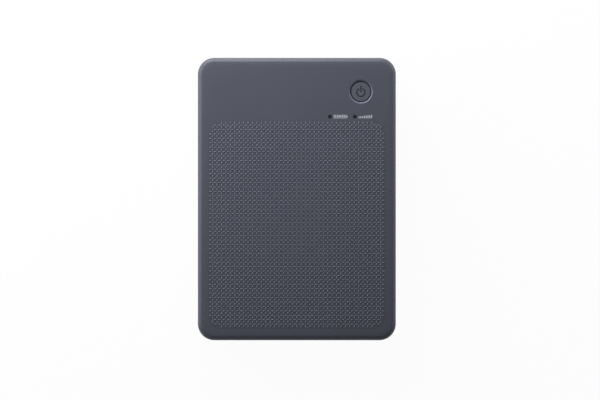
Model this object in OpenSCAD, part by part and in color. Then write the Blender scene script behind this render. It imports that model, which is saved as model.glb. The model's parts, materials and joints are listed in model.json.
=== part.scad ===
// Compact photo printer: a flat case with a rear-hinged lid, a paper tray, a ribbon
// cassette and a small thermal print engine with its gear train.
// Frame: origin at the centre of the footprint on the surface that the feet rest on.
// +X is the width, +Y points to the paper outlet, +Z is up. Millimetres.

/* [Housing] */
// Width of the case
body_w = 102.2; // [94:0.1:110]
// Length of the case
body_l = 145.8; // [134:0.1:158]
// Height of the case on its feet
body_h = 32.9; // [32.6:0.1:37]
// Radius of the case's corners in plan
corner_r = 8.5; // [7.5:0.1:9.5]
// Radius of the lid's top edge
edge_r = 2.4; // [1.6:0.1:2.6]
// Radius of the base's bottom edge
bottom_r = 1.6; // [1:0.1:1.9]
// Thickness of the side walls
wall_t = 1.8; // [1.7:0.05:1.9]
// Thickness of the base's floor
floor_t = 1.8; // [1.7:0.1:2]
// Thickness of the lid's roof
roof_t = 2; // [1.8:0.05:2.1]
// Height of the parting line between base and lid
split_z = 18.6; // [18.4:0.05:18.8]
// Clearance at the parting line
split_gap = 0.4; // [0.3:0.05:0.5]

/* [Feet and screws] */
// Diameter of a rubber foot
foot_d = 9; // [7:0.5:10]
// Height that a foot stands below the base
foot_h = 0.9; // [0.8:0.05:1]
// Depth of a foot's pocket in the base
foot_sink = 0.7; // [0.5:0.1:0.8]
// Distance from the case's sides to a foot's centre
foot_inset = 9; // [8.5:0.1:9.5]
// Shank radius of the small screws
screw_r = 0.8; // [0.7:0.05:0.9]
// Head radius of the small screws
screw_head_r = 1.6; // [1.5:0.05:1.7]
// Head height of the small screws
screw_head_h = 0.8; // [0.6:0.1:0.9]

/* [Hinge] */
// Distance from the rear of the case to the hinge axis
hinge_inset = 3.2; // [3.15:0.05:3.3]
// Radius of the hinge barrel
knuckle_r = 3; // [2.9:0.05:3.05]
// Running gap round a hinge knuckle
knuckle_gap = 0.3; // [0.25:0.05:0.35]
// Length of a base knuckle
knuckle_len = 8; // [7:0.5:8]
// Distance from the side of the housing to the inner end of a knuckle
knuckle_inset = 15.1; // [14.6:0.1:18]
// Radius of a hinge pin
pin_r = 1; // [0.8:0.05:1.2]
// Length of hinge pin that reaches into the lid at each end
pin_reach = 2.2; // [1.8:0.1:2.4]
// Radial clearance of pins, shafts and studs that turn
run_gap = 0.05; // [0.03:0.01:0.08]

/* [Paper] */
// Width of a sheet
paper_w = 72; // [70:0.5:72.4]
// Length of the housing that the hinge and the print engine take up
engine_l = 60.8; // [60.6:0.1:63]
// Height of a full stack of sheets
stack_h = 2.5; // [2:0.1:2.6]
// Height of the paper path's lower face
paper_z = 14.5; // [14.4:0.05:14.6]
// Free height of the path over the paper
paper_gap = 0.3; // [0.25:0.05:0.35]
// Clearance beside a sheet in the paper outlet
outlet_side = 2.5; // [1.5:0.1:3]
// Height of the paper outlet
outlet_h = 4.6; // [4.4:0.1:4.8]
// Wall of the paper tray
tray_t = 1.5; // [1.3:0.1:1.6]
// Height of the tray floor's underside
tray_z = 8.6; // [8.55:0.05:8.7]
// Thickness of the tray floor
tray_floor_t = 1; // [0.9:0.05:1.05]
// Thickness of the lift plate
plate_t = 0.8; // [0.7:0.05:0.9]

/* [Battery and board] */
// Clearance between the battery pack and the paper tray's legs
battery_side = 0.6; // [0.5:0.1:3]
// Thickness of the battery pack
battery_h = 5.3; // [5:0.05:5.4]
// Clearance between the main board and the motor
board_motor_gap = 4; // [2:0.5:5]
// Length of the main board
board_l = 40; // [36:0.5:44]
// Clearance between the main board and the platen roller
board_front_gap = 1.3; // [1:0.1:2]
// Thickness of a circuit board
board_t = 1; // [0.8:0.1:1.1]
// Height of the board's bosses
board_lift = 1.5; // [1.4:0.1:1.6]
// Width of the charging port's shell
port_w = 8.9; // [8.5:0.1:9]
// Height of the charging port's shell
port_h = 3.2; // [3.1:0.05:3.3]

/* [Print engine] */
// Distance from the front of the case to the capstan's axis
capstan_inset = 7.8; // [7.7:0.1:8]
// Radius of the capstan
capstan_r = 4; // [3.9:0.05:4.1]
// Radius of the pinch roller
pinch_r = 2.5; // [2.4:0.05:2.6]
// Radius of the platen roller
platen_r = 5; // [4.9:0.05:5.1]
// Radius of the pickup tyres
pickup_r = 5; // [4.8:0.05:5.1]
// Clearance between the platen roller's end and a side frame
roller_end_gap = 4.5; // [4:0.1:6]
// Radius of the roller shafts
shaft_r = 1.5; // [1.3:0.05:1.6]
// Distance from the side of the housing to a side frame's inner face
frame_inset = 7.6; // [7.5:0.05:7.8]
// Thickness of a side frame
frame_t = 1; // [0.9:0.05:1.05]
// Thickness of the thermal head's ceramic bar
head_bar_t = 1.05; // [0.9:0.05:1.2]
// Length of the thermal head along the paper path
head_l = 9; // [8:0.1:9.2]
// Height of the heatsink
sink_h = 7; // [6:0.1:7.1]
// Travel of the thermal head
head_travel = 1.2; // [0.8:0.1:1.3]

/* [Ribbon cassette] */
// Outer radius of the supply tube
supply_tube_r = 6.6; // [6.4:0.05:6.7]
// Outer radius of the take-up tube
takeup_tube_r = 6.3; // [6.1:0.05:6.4]
// Wall of the cassette
cassette_t = 1; // [0.9:0.05:1.1]
// Height of the spool axes
spool_z = 21.6; // [21.55:0.05:21.7]
// Distance from the platen's axis back to the supply spool
supply_back = 14.5; // [14.3:0.1:14.7]
// Clearance between the cassette's end and a side frame
cassette_end_gap = 1.5; // [1.3:0.1:1.8]
// Radius of the full ribbon roll
supply_roll_r = 4; // [3.6:0.1:5.2]
// Radius of the take-up roll
takeup_roll_r = 5; // [4:0.1:5.1]
// Thickness of the ribbon
ribbon_t = 0.1; // [0.08:0.01:0.12]

/* [Gear train] */
// Gear module
gear_m = 0.5; // [0.48:0.005:0.505]
// Teeth of the motor pinion, of idler 3 and of the smallest gears
small_teeth = 12; // [11:1:13]
// Teeth of the platen, pickup and take-up gears and idler 1
roller_teeth = 20; // [19:1:21]
// Teeth of the capstan gear
capstan_teeth = 16; // [15:1:17]
// Teeth of idler 2, between platen and capstan
idler_2_teeth = 32; // [31:1:33]
// Teeth of idler 4, between idler 1 and the pickup gear
idler_4_teeth = 24; // [23:1:25]
// Face width of a gear
gear_w = 1.8; // [1.6:0.05:1.8]
// Clearance between a gear's face and its neighbour
gear_gap = 0.3; // [0.25:0.05:0.35]
// Play between meshing teeth at the pitch circle
backlash = 0.1; // [0.08:0.01:0.12]

/* [Controls] */
// Radius of the power button's cap
button_r = 4.95; // [4.8:0.05:5.3]
// Clearance round the power button's cap
button_gap = 0.45; // [0.3:0.05:0.5]
// Width of the chamfer round the button's hole
button_dish = 0.75; // [0.4:0.05:0.8]
// Travel of the power button
button_travel = 0.35; // [0.3:0.01:0.4]
// Distance from the right side of the case to the button's centre
button_inset_x = 18.1; // [17.9:0.1:18.5]
// Distance from the front of the case to the button's centre
button_inset_y = 17.5; // [17.3:0.1:17.8]
// Radius of a lamp lens
lens_r = 0.95; // [0.8:0.05:1.1]
// Distance between the two lamps
lamp_pitch = 12.8; // [12:0.1:13]
// Distance from the button's centre back to the lamps
lamp_back = 12.9; // [12.6:0.1:13.2]
// Distance from the button's centre inwards to the nearer lamp
lamp_in = 3.1; // [2.8:0.1:3.3]
// Travel of the lid release lever
lever_travel = 3; // [2.5:0.1:3.1]
// Width of the lever's thumb pad
lever_l = 8; // [7:0.5:8.5]
// Distance from the front of the case to the lever's middle
lever_inset = 15.9; // [15.7:0.1:16.2]

/* [Hidden] */
$fn = 64;

// Housing
half_w = body_w / 2;
half_l = body_l / 2;
base_z = foot_h;
floor_z = base_z + floor_t;
base_rim_z = split_z - split_gap / 2;
lid_rim_z = split_z + split_gap / 2;
roof_z = body_h - roof_t;
inner_x = half_w - wall_t;
inner_y = half_l - wall_t;
seat_gap = 0.1;
case_color = [0.3, 0.31, 0.35];

// Hinge
hinge_y = -half_l + hinge_inset;
hinge_z = split_z;
knuckle_x = half_w - knuckle_inset;
scoop_r = knuckle_r + split_gap;
pin_len = knuckle_len + 2 * (knuckle_gap + pin_reach);
pin_x = knuckle_x - knuckle_gap - pin_reach;

// Paper path
paper_l = body_l - engine_l;
outlet_w = paper_w + 2 * outlet_side;
plate_z = paper_z + 0.2 - stack_h - plate_t;
stack_y = hinge_y + knuckle_r + 1.7;
tray_y0 = hinge_y + knuckle_r + knuckle_gap;
tray_y1 = stack_y + paper_l + 0.6;
tray_x = paper_w / 2 + 0.5 + tray_t;
tray_floor_z = tray_z + tray_floor_t;
tray_wall_z = paper_z + 1.5;
plate_pivot_y = stack_y + 5;
plate_pin_r = 0.75;
plate_pivot_z = plate_z + plate_t - plate_pin_r;
plate_drop = 1;
plate_y1 = tray_y1 - tray_t - 0.3;
tray_front_z = plate_z + plate_t - (tray_y1 - plate_pivot_y) * tan(plate_drop) - 0.4;
leg_r = 2.6;
leg_x = tray_x - leg_r - 0.2;
leg_ys = [stack_y + 9, tray_y1 - leg_r - 2];

// Gear train, in the plane (Y, Z) seen from -X towards +X
pressure_angle = 25;
addendum = 0.8 * gear_m;
dedendum = 1.05 * gear_m;
function pitch_r(teeth) = teeth * gear_m / 2;
function reach(a, b) = pitch_r(a) + pitch_r(b);
function step(from, dist, angle) = from + dist * [cos(angle), sin(angle)];
function angle_to(a, b) = atan2(b[1] - a[1], b[0] - a[0]);
// Phase of gear b's tooth where it meshes with gear a at the given phase
function mesh_phase(a, b, phase, na, nb) =
  angle_to(a, b) + 180 - (phase - angle_to(a, b)) * na / nb + 180 / nb;

capstan_y = half_l - capstan_inset;
capstan_z = paper_z - capstan_r;
platen_z = paper_z - platen_r;
idler_2_angle = 8.6;
idler_1_angle = 152.2;
motor_angle = 228;
idler_3_angle = 44;
idler_4_angle = 151.7;
platen_idler_2 = reach(roller_teeth, idler_2_teeth);
idler_2_z = platen_z + platen_idler_2 * sin(idler_2_angle);
idler_2_capstan = reach(idler_2_teeth, capstan_teeth);
idler_2_y = capstan_y - idler_2_capstan * cos(asin((idler_2_z - capstan_z) / idler_2_capstan));
platen_y = idler_2_y - platen_idler_2 * cos(idler_2_angle);
capstan_at = [capstan_y, capstan_z];
platen_at = [platen_y, platen_z];
idler_2_at = [idler_2_y, idler_2_z];
idler_1_at = step(platen_at, reach(roller_teeth, roller_teeth), idler_1_angle);
motor_at = step(idler_1_at, reach(roller_teeth, small_teeth), motor_angle);
idler_3_at = step(idler_2_at, reach(idler_2_teeth, small_teeth), idler_3_angle);
idler_4_at = step(idler_1_at, reach(roller_teeth, idler_4_teeth), idler_4_angle);
idler_3_takeup = reach(small_teeth, roller_teeth);
takeup_y = idler_3_at[0] - idler_3_takeup * cos(asin((spool_z - idler_3_at[1]) / idler_3_takeup));
takeup_at = [takeup_y, spool_z];
pickup_z = plate_z + plate_t + stack_h + seat_gap + pickup_r;
idler_4_pickup = reach(idler_4_teeth, roller_teeth);
pickup_y = idler_4_at[0] - idler_4_pickup * cos(asin((pickup_z - idler_4_at[1]) / idler_4_pickup));
pickup_at = [pickup_y, pickup_z];
supply_at = [platen_y - supply_back, spool_z];
pinch_at = [capstan_y, paper_z + paper_gap + pinch_r];

platen_phase = 0;
idler_1_phase = mesh_phase(platen_at, idler_1_at, platen_phase, roller_teeth, roller_teeth);
idler_2_phase = mesh_phase(platen_at, idler_2_at, platen_phase, roller_teeth, idler_2_teeth);
motor_phase = mesh_phase(idler_1_at, motor_at, idler_1_phase, roller_teeth, small_teeth);
idler_4_phase = mesh_phase(idler_1_at, idler_4_at, idler_1_phase, roller_teeth, idler_4_teeth);
pickup_phase = mesh_phase(idler_4_at, pickup_at, idler_4_phase, idler_4_teeth, roller_teeth);
capstan_phase = mesh_phase(idler_2_at, capstan_at, idler_2_phase, idler_2_teeth, capstan_teeth);
idler_3_phase = mesh_phase(idler_2_at, idler_3_at, idler_2_phase, idler_2_teeth, small_teeth);
takeup_phase = mesh_phase(idler_3_at, takeup_at, idler_3_phase, small_teeth, roller_teeth);

frame_x = half_w - frame_inset;
frame_out = frame_x + frame_t;
plane_1 = frame_out + gear_gap;
plane_2 = plane_1 + gear_w + gear_gap;
stud_r = 1;
stud_clip_r = 1.7;
stud_clip_t = 0.25;
bush_t = 0.9;
journal_x = frame_out + 1;
frame_y0 = pickup_y - 4.5;
frame_y1 = capstan_y + 3.5;
frame_low_z = paper_z + 3;
frame_pad_h = 2;
flange_w = 5;
flange_ys = [frame_y0 + 4, capstan_y - 10.5];
screw_bite = 1;

// Motor
motor_w = 10;
motor_h = 9;
motor_l = 24;
motor_boss_l = 1.5;
motor_boss_r = 3;
motor_x1 = frame_x - motor_boss_l;
motor_x0 = motor_x1 - motor_l;

// Battery and boards
board_y1 = platen_y - platen_r - board_front_gap;
board_y0 = board_y1 - board_l;
battery_gap = 0.4;
battery_w = 2 * (leg_x - leg_r - battery_side);
battery_y0 = stack_y + 3;
battery_y1 = board_y0 - 2;
battery_l = battery_y1 - battery_y0;
board_z = floor_z + board_lift;
board_top = board_z + board_t;
board_x0 = -(leg_x - leg_r) + 0.6;
board_x1 = motor_x0 - board_motor_gap;
port_y = board_y0 + 5.5;
port_l = 7.3;
port_x0 = -half_w + 0.1;
port_tab_x = port_x0 + 2.2;
port_z = board_top + port_h / 2;
boss_r = 2.2;
processor_at = [8, 8];
processor_size = [8, 8, 0.9];
driver_at = [20, 6];
driver_size = [6, 5, 1];
coil_row = 19;
coil_pitch = 4;
coil_size = [2.4, 1.4, 0.8];
capacitor_row = 3;
capacitor_pitch = 2.2;
capacitor_size = [1.2, 0.7, 0.5];
shield_at = [25, 14];
shield_size = [14, 11, 1.8];
shield_t = 0.2;
module_at = [7, 23.5];
module_size = [12, 10, 2];
module_slot = 0.9;
board_hole_in = 3;
board_holes = [
  [board_x0 + board_hole_in, board_y0 + 14],
  [board_x0 + board_hole_in, board_y1 - board_hole_in],
  [board_x1 - board_hole_in, board_y0 + board_hole_in],
  [board_x1 - board_hole_in, board_y1 - board_hole_in]
];

// Thermal head
ribbon_z = paper_z + paper_gap;
head_z = ribbon_z + ribbon_t + 0.05;
sink_z = head_z + head_bar_t;
bracket_z = sink_z + sink_h;
bracket_t = 1;
head_x = frame_x - 6.5;
platen_l = 2 * (frame_x - roller_end_gap);
cassette_x = frame_x - cassette_end_gap;
ear_x0 = head_x + 0.4;
ear_t = 1;
carrier_z = roof_z - 3.5;
carrier_t = 0.8;
carrier_l = head_l + 3;
carrier_x = frame_x - 0.5;
guide_pin_r = 0.9;
guide_pin_z = sink_z + sink_h - 2;
post_r = 1.6;
post_dy = carrier_l / 2 - post_r + 0.1;
carrier_posts = [for (x = [-carrier_x + post_r, carrier_x - post_r, -12]) for (s = [-1, 1]) [x, platen_y + s * post_dy]];
head_spring_x = head_x - 12;
lift_spring_x = paper_w / 2 - 11;
head_spring_r = 1.8;

// Controls
button_x = half_w - button_inset_x;
button_y = half_l - button_inset_y;
button_hole_r = button_r + button_gap;
button_top = body_h - 0.3;
flange_t = 0.5;
flange_z = roof_z - 0.1 - flange_t;
switch_top = flange_z - button_travel - 0.02;
panel_z = roof_z - 2.5;
panel_t = 0.8;
panel_top = panel_z + panel_t;
lamps = [[button_x - lamp_in, button_y - lamp_back],
         [button_x - lamp_in - lamp_pitch, button_y - lamp_back]];
panel_x0 = lamps[1][0] - 4;
panel_x1 = button_x + button_hole_r + 0.4;
panel_y0 = lamps[0][1] - 4.5;
panel_y1 = button_y + button_hole_r;
panel_posts = [[panel_x0 + 2, panel_y1 - 2], [panel_x1 - 2, panel_y0 + 2], [panel_x0 + 11, panel_y0 + 9.5]];
lens_flange_r = 1.6;

// Latch
lever_y = half_l - lever_inset;
latch_out = inner_x - seat_gap;
latch_t = 1;
latch_in = latch_out - latch_t;
recess_d = 1;
lever_z0 = 10.8;
lever_z1 = 16.2;
catch_z = lid_rim_z + 0.2;
catch_t = 0.8;
hook_z = catch_z + catch_t + 0.2;
hook_t = 1.2;
hook_bite = 1.2;
catch_y = lever_y + 2;
lug_y = lever_y - 7;
lug_t = 1;
spring_len = 5;
stop_y = lug_y - spring_len - 1;
latch_foot_z = 10;

// ---------- shared shapes ----------

// Rounded rectangle centred on the origin
module rounded_rect(w, l, r) {
  square([w - 2 * r, l], center = true);
  square([w, l - 2 * r], center = true);
  for (x = [-1, 1])
    for (y = [-1, 1])
      translate([x * (w / 2 - r), y * (l / 2 - r)])
        circle(r = r);
}

module slab(w, l, h, r) {
  linear_extrude(h)
    rounded_rect(w, l, r);
}

// Box between two corners
module span(a, b) {
  translate(a)
    cube(b - a);
}

// Half of a section whose upper outer corner is rounded
module edge_profile(w, h, e) {
  square([w - e, h]);
  square([w, h - e]);
  translate([w - e, h - e])
    circle(r = e);
}

// Rounded slab whose top edge is rounded too
module filleted_slab(w, l, h, r, e) {
  rotate([90, 0, 90])
    linear_extrude(w - 2 * r, center = true)
      union() {
        edge_profile(l / 2, h, e);
        mirror([1, 0])
          edge_profile(l / 2, h, e);
      }
  for (side = [0, 1])
    mirror([side, 0, 0])
      translate([w / 2 - r, 0, 0])
        rotate([90, 0, 0])
          linear_extrude(l - 2 * r, center = true)
            edge_profile(r, h, e);
  for (i = [0:3])
    translate([(i == 0 || i == 3 ? 1 : -1) * (w / 2 - r), (i < 2 ? 1 : -1) * (l / 2 - r), 0])
      rotate([0, 0, 90 * i])
        rotate_extrude(angle = 90)
          edge_profile(r, h, e);
}

// Round bar along X from x0 to x1, centred on a (Y, Z) point
module bar(at, r, x0, x1) {
  translate([x0, at[0], at[1]])
    rotate([0, 90, 0])
      cylinder(r = r, h = x1 - x0);
}

// Tube along X
module sleeve(at, r, bore, x0, x1) {
  difference() {
    bar(at, r, x0, x1);
    bar(at, bore, x0 - 1, x1 + 1);
  }
}

module post(x, y, z0, z1, r) {
  translate([x, y, z0])
    cylinder(r = r, h = z1 - z0);
}

// Angle of the involute at a radius, in degrees
function involute(base_r, r) = sqrt(pow(r / base_r, 2) - 1) * 180 / PI - acos(base_r / r);

// Outline of an involute spur gear, first tooth centred on +X
module gear_outline(teeth) {
  pitch = pitch_r(teeth);
  base_r = pitch * cos(pressure_angle);
  tip = pitch + addendum;
  root = pitch - dedendum;
  low = max(base_r, root);
  half = 90 / teeth - backlash / pitch * 45 / PI + involute(base_r, pitch);
  radii = [for (i = [0:4]) low + (tip - low) * i / 4];
  flank = [for (r = radii) [r, half - involute(base_r, r)]];
  side = concat(root < low ? [[root, flank[0][1]]] : [], flank);
  last = len(side) - 1;
  polygon([
    for (t = [0:teeth - 1])
      for (i = [0:2 * last + 1])
        let (p = i <= last ? [side[i][0], -side[i][1]] : side[2 * last + 1 - i])
        p[0] * [cos(360 * t / teeth + p[1]), sin(360 * t / teeth + p[1])]
  ]);
}

// Spur gear on an X axis with a bore, its web thinned where it is large
module gear(at, teeth, phase, bore, x0, width) {
  rim_r = pitch_r(teeth) - 1.6;
  hub_r = bore + 1.2;
  translate([x0, at[0], at[1]])
    rotate([90, 0, 90])
      difference() {
        linear_extrude(width)
          rotate(phase)
            gear_outline(teeth);
        translate([0, 0, -1])
          cylinder(r = bore, h = width + 2);
        if (rim_r > hub_r + 0.6)
          translate([0, 0, width - 0.5])
            difference() {
              cylinder(r = rim_r, h = 1);
              cylinder(r = hub_r, h = 1);
            }
      }
}

// Coil spring along Z, swept as one tube
module coil(r, wire, h, turns) {
  sides = 6;
  per_turn = 12;
  rings = turns * per_turn;
  points = [
    for (i = [0:rings])
      for (s = [0:sides - 1])
        let (a = 360 * i / per_turn, q = 360 * s / sides, d = r + wire * cos(q))
        [d * cos(a), d * sin(a), wire + (h - 2 * wire) * i / rings + wire * sin(q)]
  ];
  skin = [
    for (i = [0:rings - 1])
      for (s = [0:sides - 1])
        let (a = i * sides + s, b = i * sides + (s + 1) % sides)
        [a, a + sides, b + sides, b]
  ];
  ends = [[for (s = [0:sides - 1]) s], [for (s = [sides - 1:-1:0]) rings * sides + s]];
  polyhedron(points, concat(skin, ends));
}

// Pan screw pointing down from its head's underside
module pan_screw(x, y, z, depth) {
  post(x, y, z, z + screw_head_h, screw_head_r);
  post(x, y, z - depth, z, screw_r);
}

// Insulated lead through a list of points
module lead(path, r) {
  for (i = [0:len(path) - 2])
    hull() {
      translate(path[i])
        sphere(r = r, $fn = 8);
      translate(path[i + 1])
        sphere(r = r, $fn = 8);
    }
}

// ---------- base and what it carries ----------

module foot_places() {
  for (x = [-1, 1])
    for (y = [-1, 1])
      translate([x * (half_w - foot_inset), y * (half_l - foot_inset), 0])
        children();
}

module base_skin() {
  difference() {
    translate([0, 0, base_rim_z])
      mirror([0, 0, 1])
        filleted_slab(body_w, body_l, base_rim_z - base_z, corner_r, bottom_r);
    translate([0, 0, floor_z])
      slab(2 * inner_x, 2 * inner_y, body_h, corner_r - wall_t);
    span([-half_w - 1, -half_l - 1, hinge_z - scoop_r], [half_w + 1, hinge_y, body_h]);
    bar([hinge_y, hinge_z], scoop_r, -half_w - 1, half_w + 1);
    foot_places()
      translate([0, 0, base_z - 1])
        cylinder(r = foot_d / 2, h = 1 + foot_sink);
    // Paper outlet
    span([-outlet_w / 2, inner_y - 1, paper_z - outlet_h / 2],
         [outlet_w / 2, half_l + 1, paper_z + outlet_h / 2]);
    // Charging port opening
    span([-half_w - 1, port_y - port_w / 2 - 0.3, port_z - port_h / 2 - 0.2],
         [-inner_x + 1, port_y + port_w / 2 + 0.3, port_z + port_h / 2 + 0.2]);
    // Thumb recess and stem slot of the release lever
    span([-half_w - 1, lever_y - lever_l / 2 - lever_travel - 1, lever_z0 - 0.6],
         [-half_w + recess_d, lever_y + lever_l / 2 + 1, lever_z1 + 0.6]);
    span([-half_w, lever_y - 2 - lever_travel - 0.4, lever_z0 + 1.8],
         [-inner_x + 1, lever_y + 2.4, lever_z1 - 0.8]);
    // Screw holes under the paper tray's legs
    for (x = [-leg_x, leg_x])
      for (y = leg_ys) {
        post(x, y, base_z - 1, base_z + screw_head_h + 0.2, screw_head_r + 0.2);
        post(x, y, base_z, floor_z + 1, screw_r + 0.1);
      }
    // Screw holes under the side frames' pads
    for (side = [-1, 1])
      for (y = flange_ys)
        post(side * (frame_x - flange_w / 2), y, floor_z - screw_bite, floor_z + 1, screw_r + 0.02);
  }
}

module base_knuckles() {
  for (side = [0, 1])
    mirror([side, 0, 0])
      difference() {
        union() {
          bar([hinge_y, hinge_z], knuckle_r, knuckle_x, knuckle_x + knuckle_len);
          span([knuckle_x, hinge_y - 1, floor_z - 1],
               [knuckle_x + knuckle_len, hinge_y + knuckle_r, hinge_z]);
          span([knuckle_x, -inner_y - 0.5, floor_z - 1],
               [knuckle_x + knuckle_len, hinge_y, hinge_z - scoop_r - 0.2]);
        }
        bar([hinge_y, hinge_z], pin_r, knuckle_x - 1, knuckle_x + knuckle_len + 1);
      }
}

module base_bosses() {
  for (h = board_holes)
    difference() {
      post(h[0], h[1], floor_z - 0.5, board_z, boss_r);
      post(h[0], h[1], floor_z - 0.3, board_z + 1, screw_r + 0.02);
    }
  for (side = [-1, 1])
    for (y = flange_ys)
      difference() {
        span([side * (frame_x - flange_w / 2) - flange_w / 2, y - 3, floor_z - 0.5],
             [side * (frame_x - flange_w / 2) + flange_w / 2, y + 3, floor_z + frame_pad_h]);
        post(side * (frame_x - flange_w / 2), y, floor_z - screw_bite, floor_z + frame_pad_h + 1, screw_r + 0.02);
      }
}

// Cradle that the motor sits in
module motor_cradle() {
  rib_t = 1.5;
  lip = motor_at[1] - motor_h / 2 + 3;
  for (x = [motor_x0 + 3, motor_x1 - 3 - rib_t])
    difference() {
      span([x, motor_at[0] - motor_w / 2 - 1.5, floor_z - 0.5],
           [x + rib_t, motor_at[0] + motor_w / 2 + 1.5, lip]);
      span([x - 1, motor_at[0] - motor_w / 2 - 0.05, motor_at[1] - motor_h / 2 - 0.02],
           [x + rib_t + 1, motor_at[0] + motor_w / 2 + 0.05, lip + 1]);
    }
}

// Low ribs round the battery, open at the front for its leads
module battery_ribs() {
  rib_t = 1.2;
  rib_h = 2.5;
  lead_side = 25;
  x = battery_w / 2 + battery_gap;
  y0 = battery_y0 - battery_gap;
  y1 = battery_y1 + battery_gap;
  for (side = [0, 1])
    mirror([side, 0, 0])
      span([x, leg_ys[0] + leg_r + 0.5, floor_z - 0.5], [x + rib_t, y1, floor_z + rib_h]);
  span([-x + 4, y0 - rib_t, floor_z - 0.5], [x - 4, y0, floor_z + rib_h]);
  span([-x - rib_t, y1, floor_z - 0.5], [x - lead_side, y1 + rib_t, floor_z + rib_h / 2.5]);
}

// Shelf that the latch slides on, and the stop of its spring
module latch_rail() {
  span([-inner_x - 0.5, stop_y, latch_foot_z - 0.9],
       [-latch_in + 0.2, catch_y + 1, latch_foot_z - seat_gap]);
  span([-inner_x - 0.5, stop_y, latch_foot_z - 0.9],
       [-latch_in + 2, stop_y + 1, latch_foot_z + 4]);
}

module base_case() {
  color(case_color)
    union() {
      base_skin();
      base_knuckles();
      base_bosses();
      motor_cradle();
      battery_ribs();
      latch_rail();
    }
}

module rubber_feet() {
  color([0.08, 0.08, 0.08])
    foot_places()
      difference() {
        cylinder(r = foot_d / 2 - 0.05, h = foot_h + foot_sink);
        translate([0, 0, -1])
          cylinder(r = foot_d / 5, h = 1.3);
      }
}

module hinge_pins() {
  color([0.75, 0.76, 0.78])
    for (side = [0, 1])
      mirror([side, 0, 0])
        bar([hinge_y, hinge_z], pin_r, pin_x, pin_x + pin_len);
}

module paper_tray() {
  color([0.2, 0.2, 0.21])
    difference() {
      union() {
        span([-tray_x, tray_y0, tray_z], [tray_x, tray_y1, tray_floor_z]);
        for (side = [0, 1])
          mirror([side, 0, 0]) {
            span([tray_x - tray_t, tray_y0, tray_z], [tray_x, tray_y1, tray_wall_z]);
            for (y = [stack_y + 16, pickup_y - 14])
              span([tray_x - tray_t - 2.5, y - 4, paper_z + 0.5], [tray_x, y + 4, tray_wall_z]);
          }
        span([-tray_x, tray_y0, tray_z], [tray_x, tray_y0 + tray_t - 0.2, tray_wall_z]);
        span([-tray_x, tray_y1 - tray_t + 0.6, tray_z], [tray_x, tray_y1, tray_front_z]);
        for (x = [-leg_x, leg_x])
          for (y = leg_ys)
            post(x, y, floor_z, tray_z + 0.5, leg_r);
      }
      for (x = [-leg_x, leg_x])
        for (y = leg_ys)
          post(x, y, floor_z - 1, tray_z - 0.4, screw_r + 0.02);
      for (x = [-lift_spring_x, lift_spring_x])
        post(x, pickup_y - 4, tray_floor_z - 0.3, tray_floor_z + 1, 2.6);
      bar([plate_pivot_y, plate_pivot_z], plate_pin_r + run_gap, -tray_x - 1, tray_x + 1);
    }
}

module case_screws() {
  color([0.15, 0.15, 0.16])
    for (x = [-leg_x, leg_x])
      for (y = leg_ys)
        translate([0, 0, 2 * (base_z + screw_head_h + 0.2)])
          mirror([0, 0, 1])
            pan_screw(x, y, base_z + screw_head_h + 0.2, tray_z - floor_z + 0.2);
}

// Side frame standing on its pads, drawn for the right side
module side_frame(has_drive) {
  difference() {
    union() {
      translate([frame_x, 0, 0])
        rotate([90, 0, 90])
          linear_extrude(frame_t)
            polygon([
              [frame_y0, floor_z + frame_pad_h],
              [frame_y1, floor_z + frame_pad_h],
              [frame_y1, spool_z + 1.2],
              [takeup_y + 4, spool_z + 1.2],
              [takeup_y + 4, spool_z + 3.5],
              [takeup_y - 4, spool_z + 3.5],
              [takeup_y - 4, frame_low_z],
              [idler_4_at[0] + 4, frame_low_z],
              [idler_4_at[0] + 4, pickup_z + 3.5],
              [frame_y0, pickup_z + 3.5]
            ]);
      for (y = flange_ys)
        span([frame_x - flange_w, y - 3, floor_z + frame_pad_h],
             [frame_x + frame_t / 2, y + 3, floor_z + frame_pad_h + frame_t]);
    }
    for (y = flange_ys)
      post(frame_x - flange_w / 2, y, floor_z, floor_z + frame_pad_h + 3, screw_r + 0.1);
    for (at = [platen_at, capstan_at, pinch_at, pickup_at])
      bar(at, shaft_r + run_gap + bush_t, frame_x - 1, frame_out + 1);
    if (has_drive) {
      bar(takeup_at, shaft_r + run_gap + bush_t, frame_x - 1, frame_out + 1);
      bar(motor_at, motor_boss_r + 0.05, frame_x - 1, frame_out + 1);
    }
  }
}

module left_side_frame() {
  color([0.72, 0.73, 0.75])
    mirror([1, 0, 0])
      side_frame(false);
}

module right_side_frame() {
  color([0.72, 0.73, 0.75])
    side_frame(true);
}

// Paper guide that ties the two side frames together
module frame_bridge() {
  guide_z = paper_z - 0.2;
  color([0.25, 0.25, 0.27])
    difference() {
      span([-frame_x, tray_y1 + 1, guide_z - 1], [frame_x, capstan_y - capstan_r - 0.5, guide_z]);
      span([-platen_l / 2 - 1, platen_y - platen_r - 0.5, guide_z - 2],
           [platen_l / 2 + 1, platen_y + platen_r + 0.5, guide_z + 1]);
    }
}

module battery_pack() {
  color([0.62, 0.64, 0.66])
    translate([0, (battery_y0 + battery_y1) / 2, floor_z])
      difference() {
        slab(battery_w, battery_l, battery_h, 2);
        translate([0, 0, battery_h - 0.2])
          slab(battery_w - 8, battery_l - 8, 1, 1.5);
      }
}

module main_board() {
  color([0.05, 0.3, 0.16])
    difference() {
      union() {
        span([board_x0, board_y0, board_z], [board_x1, board_y1, board_top]);
        span([port_tab_x, board_y0, board_z], [board_x0 + 1, board_y0 + 11, board_top]);
      }
      for (h = board_holes)
        post(h[0], h[1], board_z - 1, board_top + 1, screw_r + 0.1);
    }
}

// Part on the main board: its corner from the board's own corner, and its size
module chip(at, size) {
  translate([board_x0 + at[0], board_y0 + at[1], board_top])
    cube(size);
}

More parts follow.
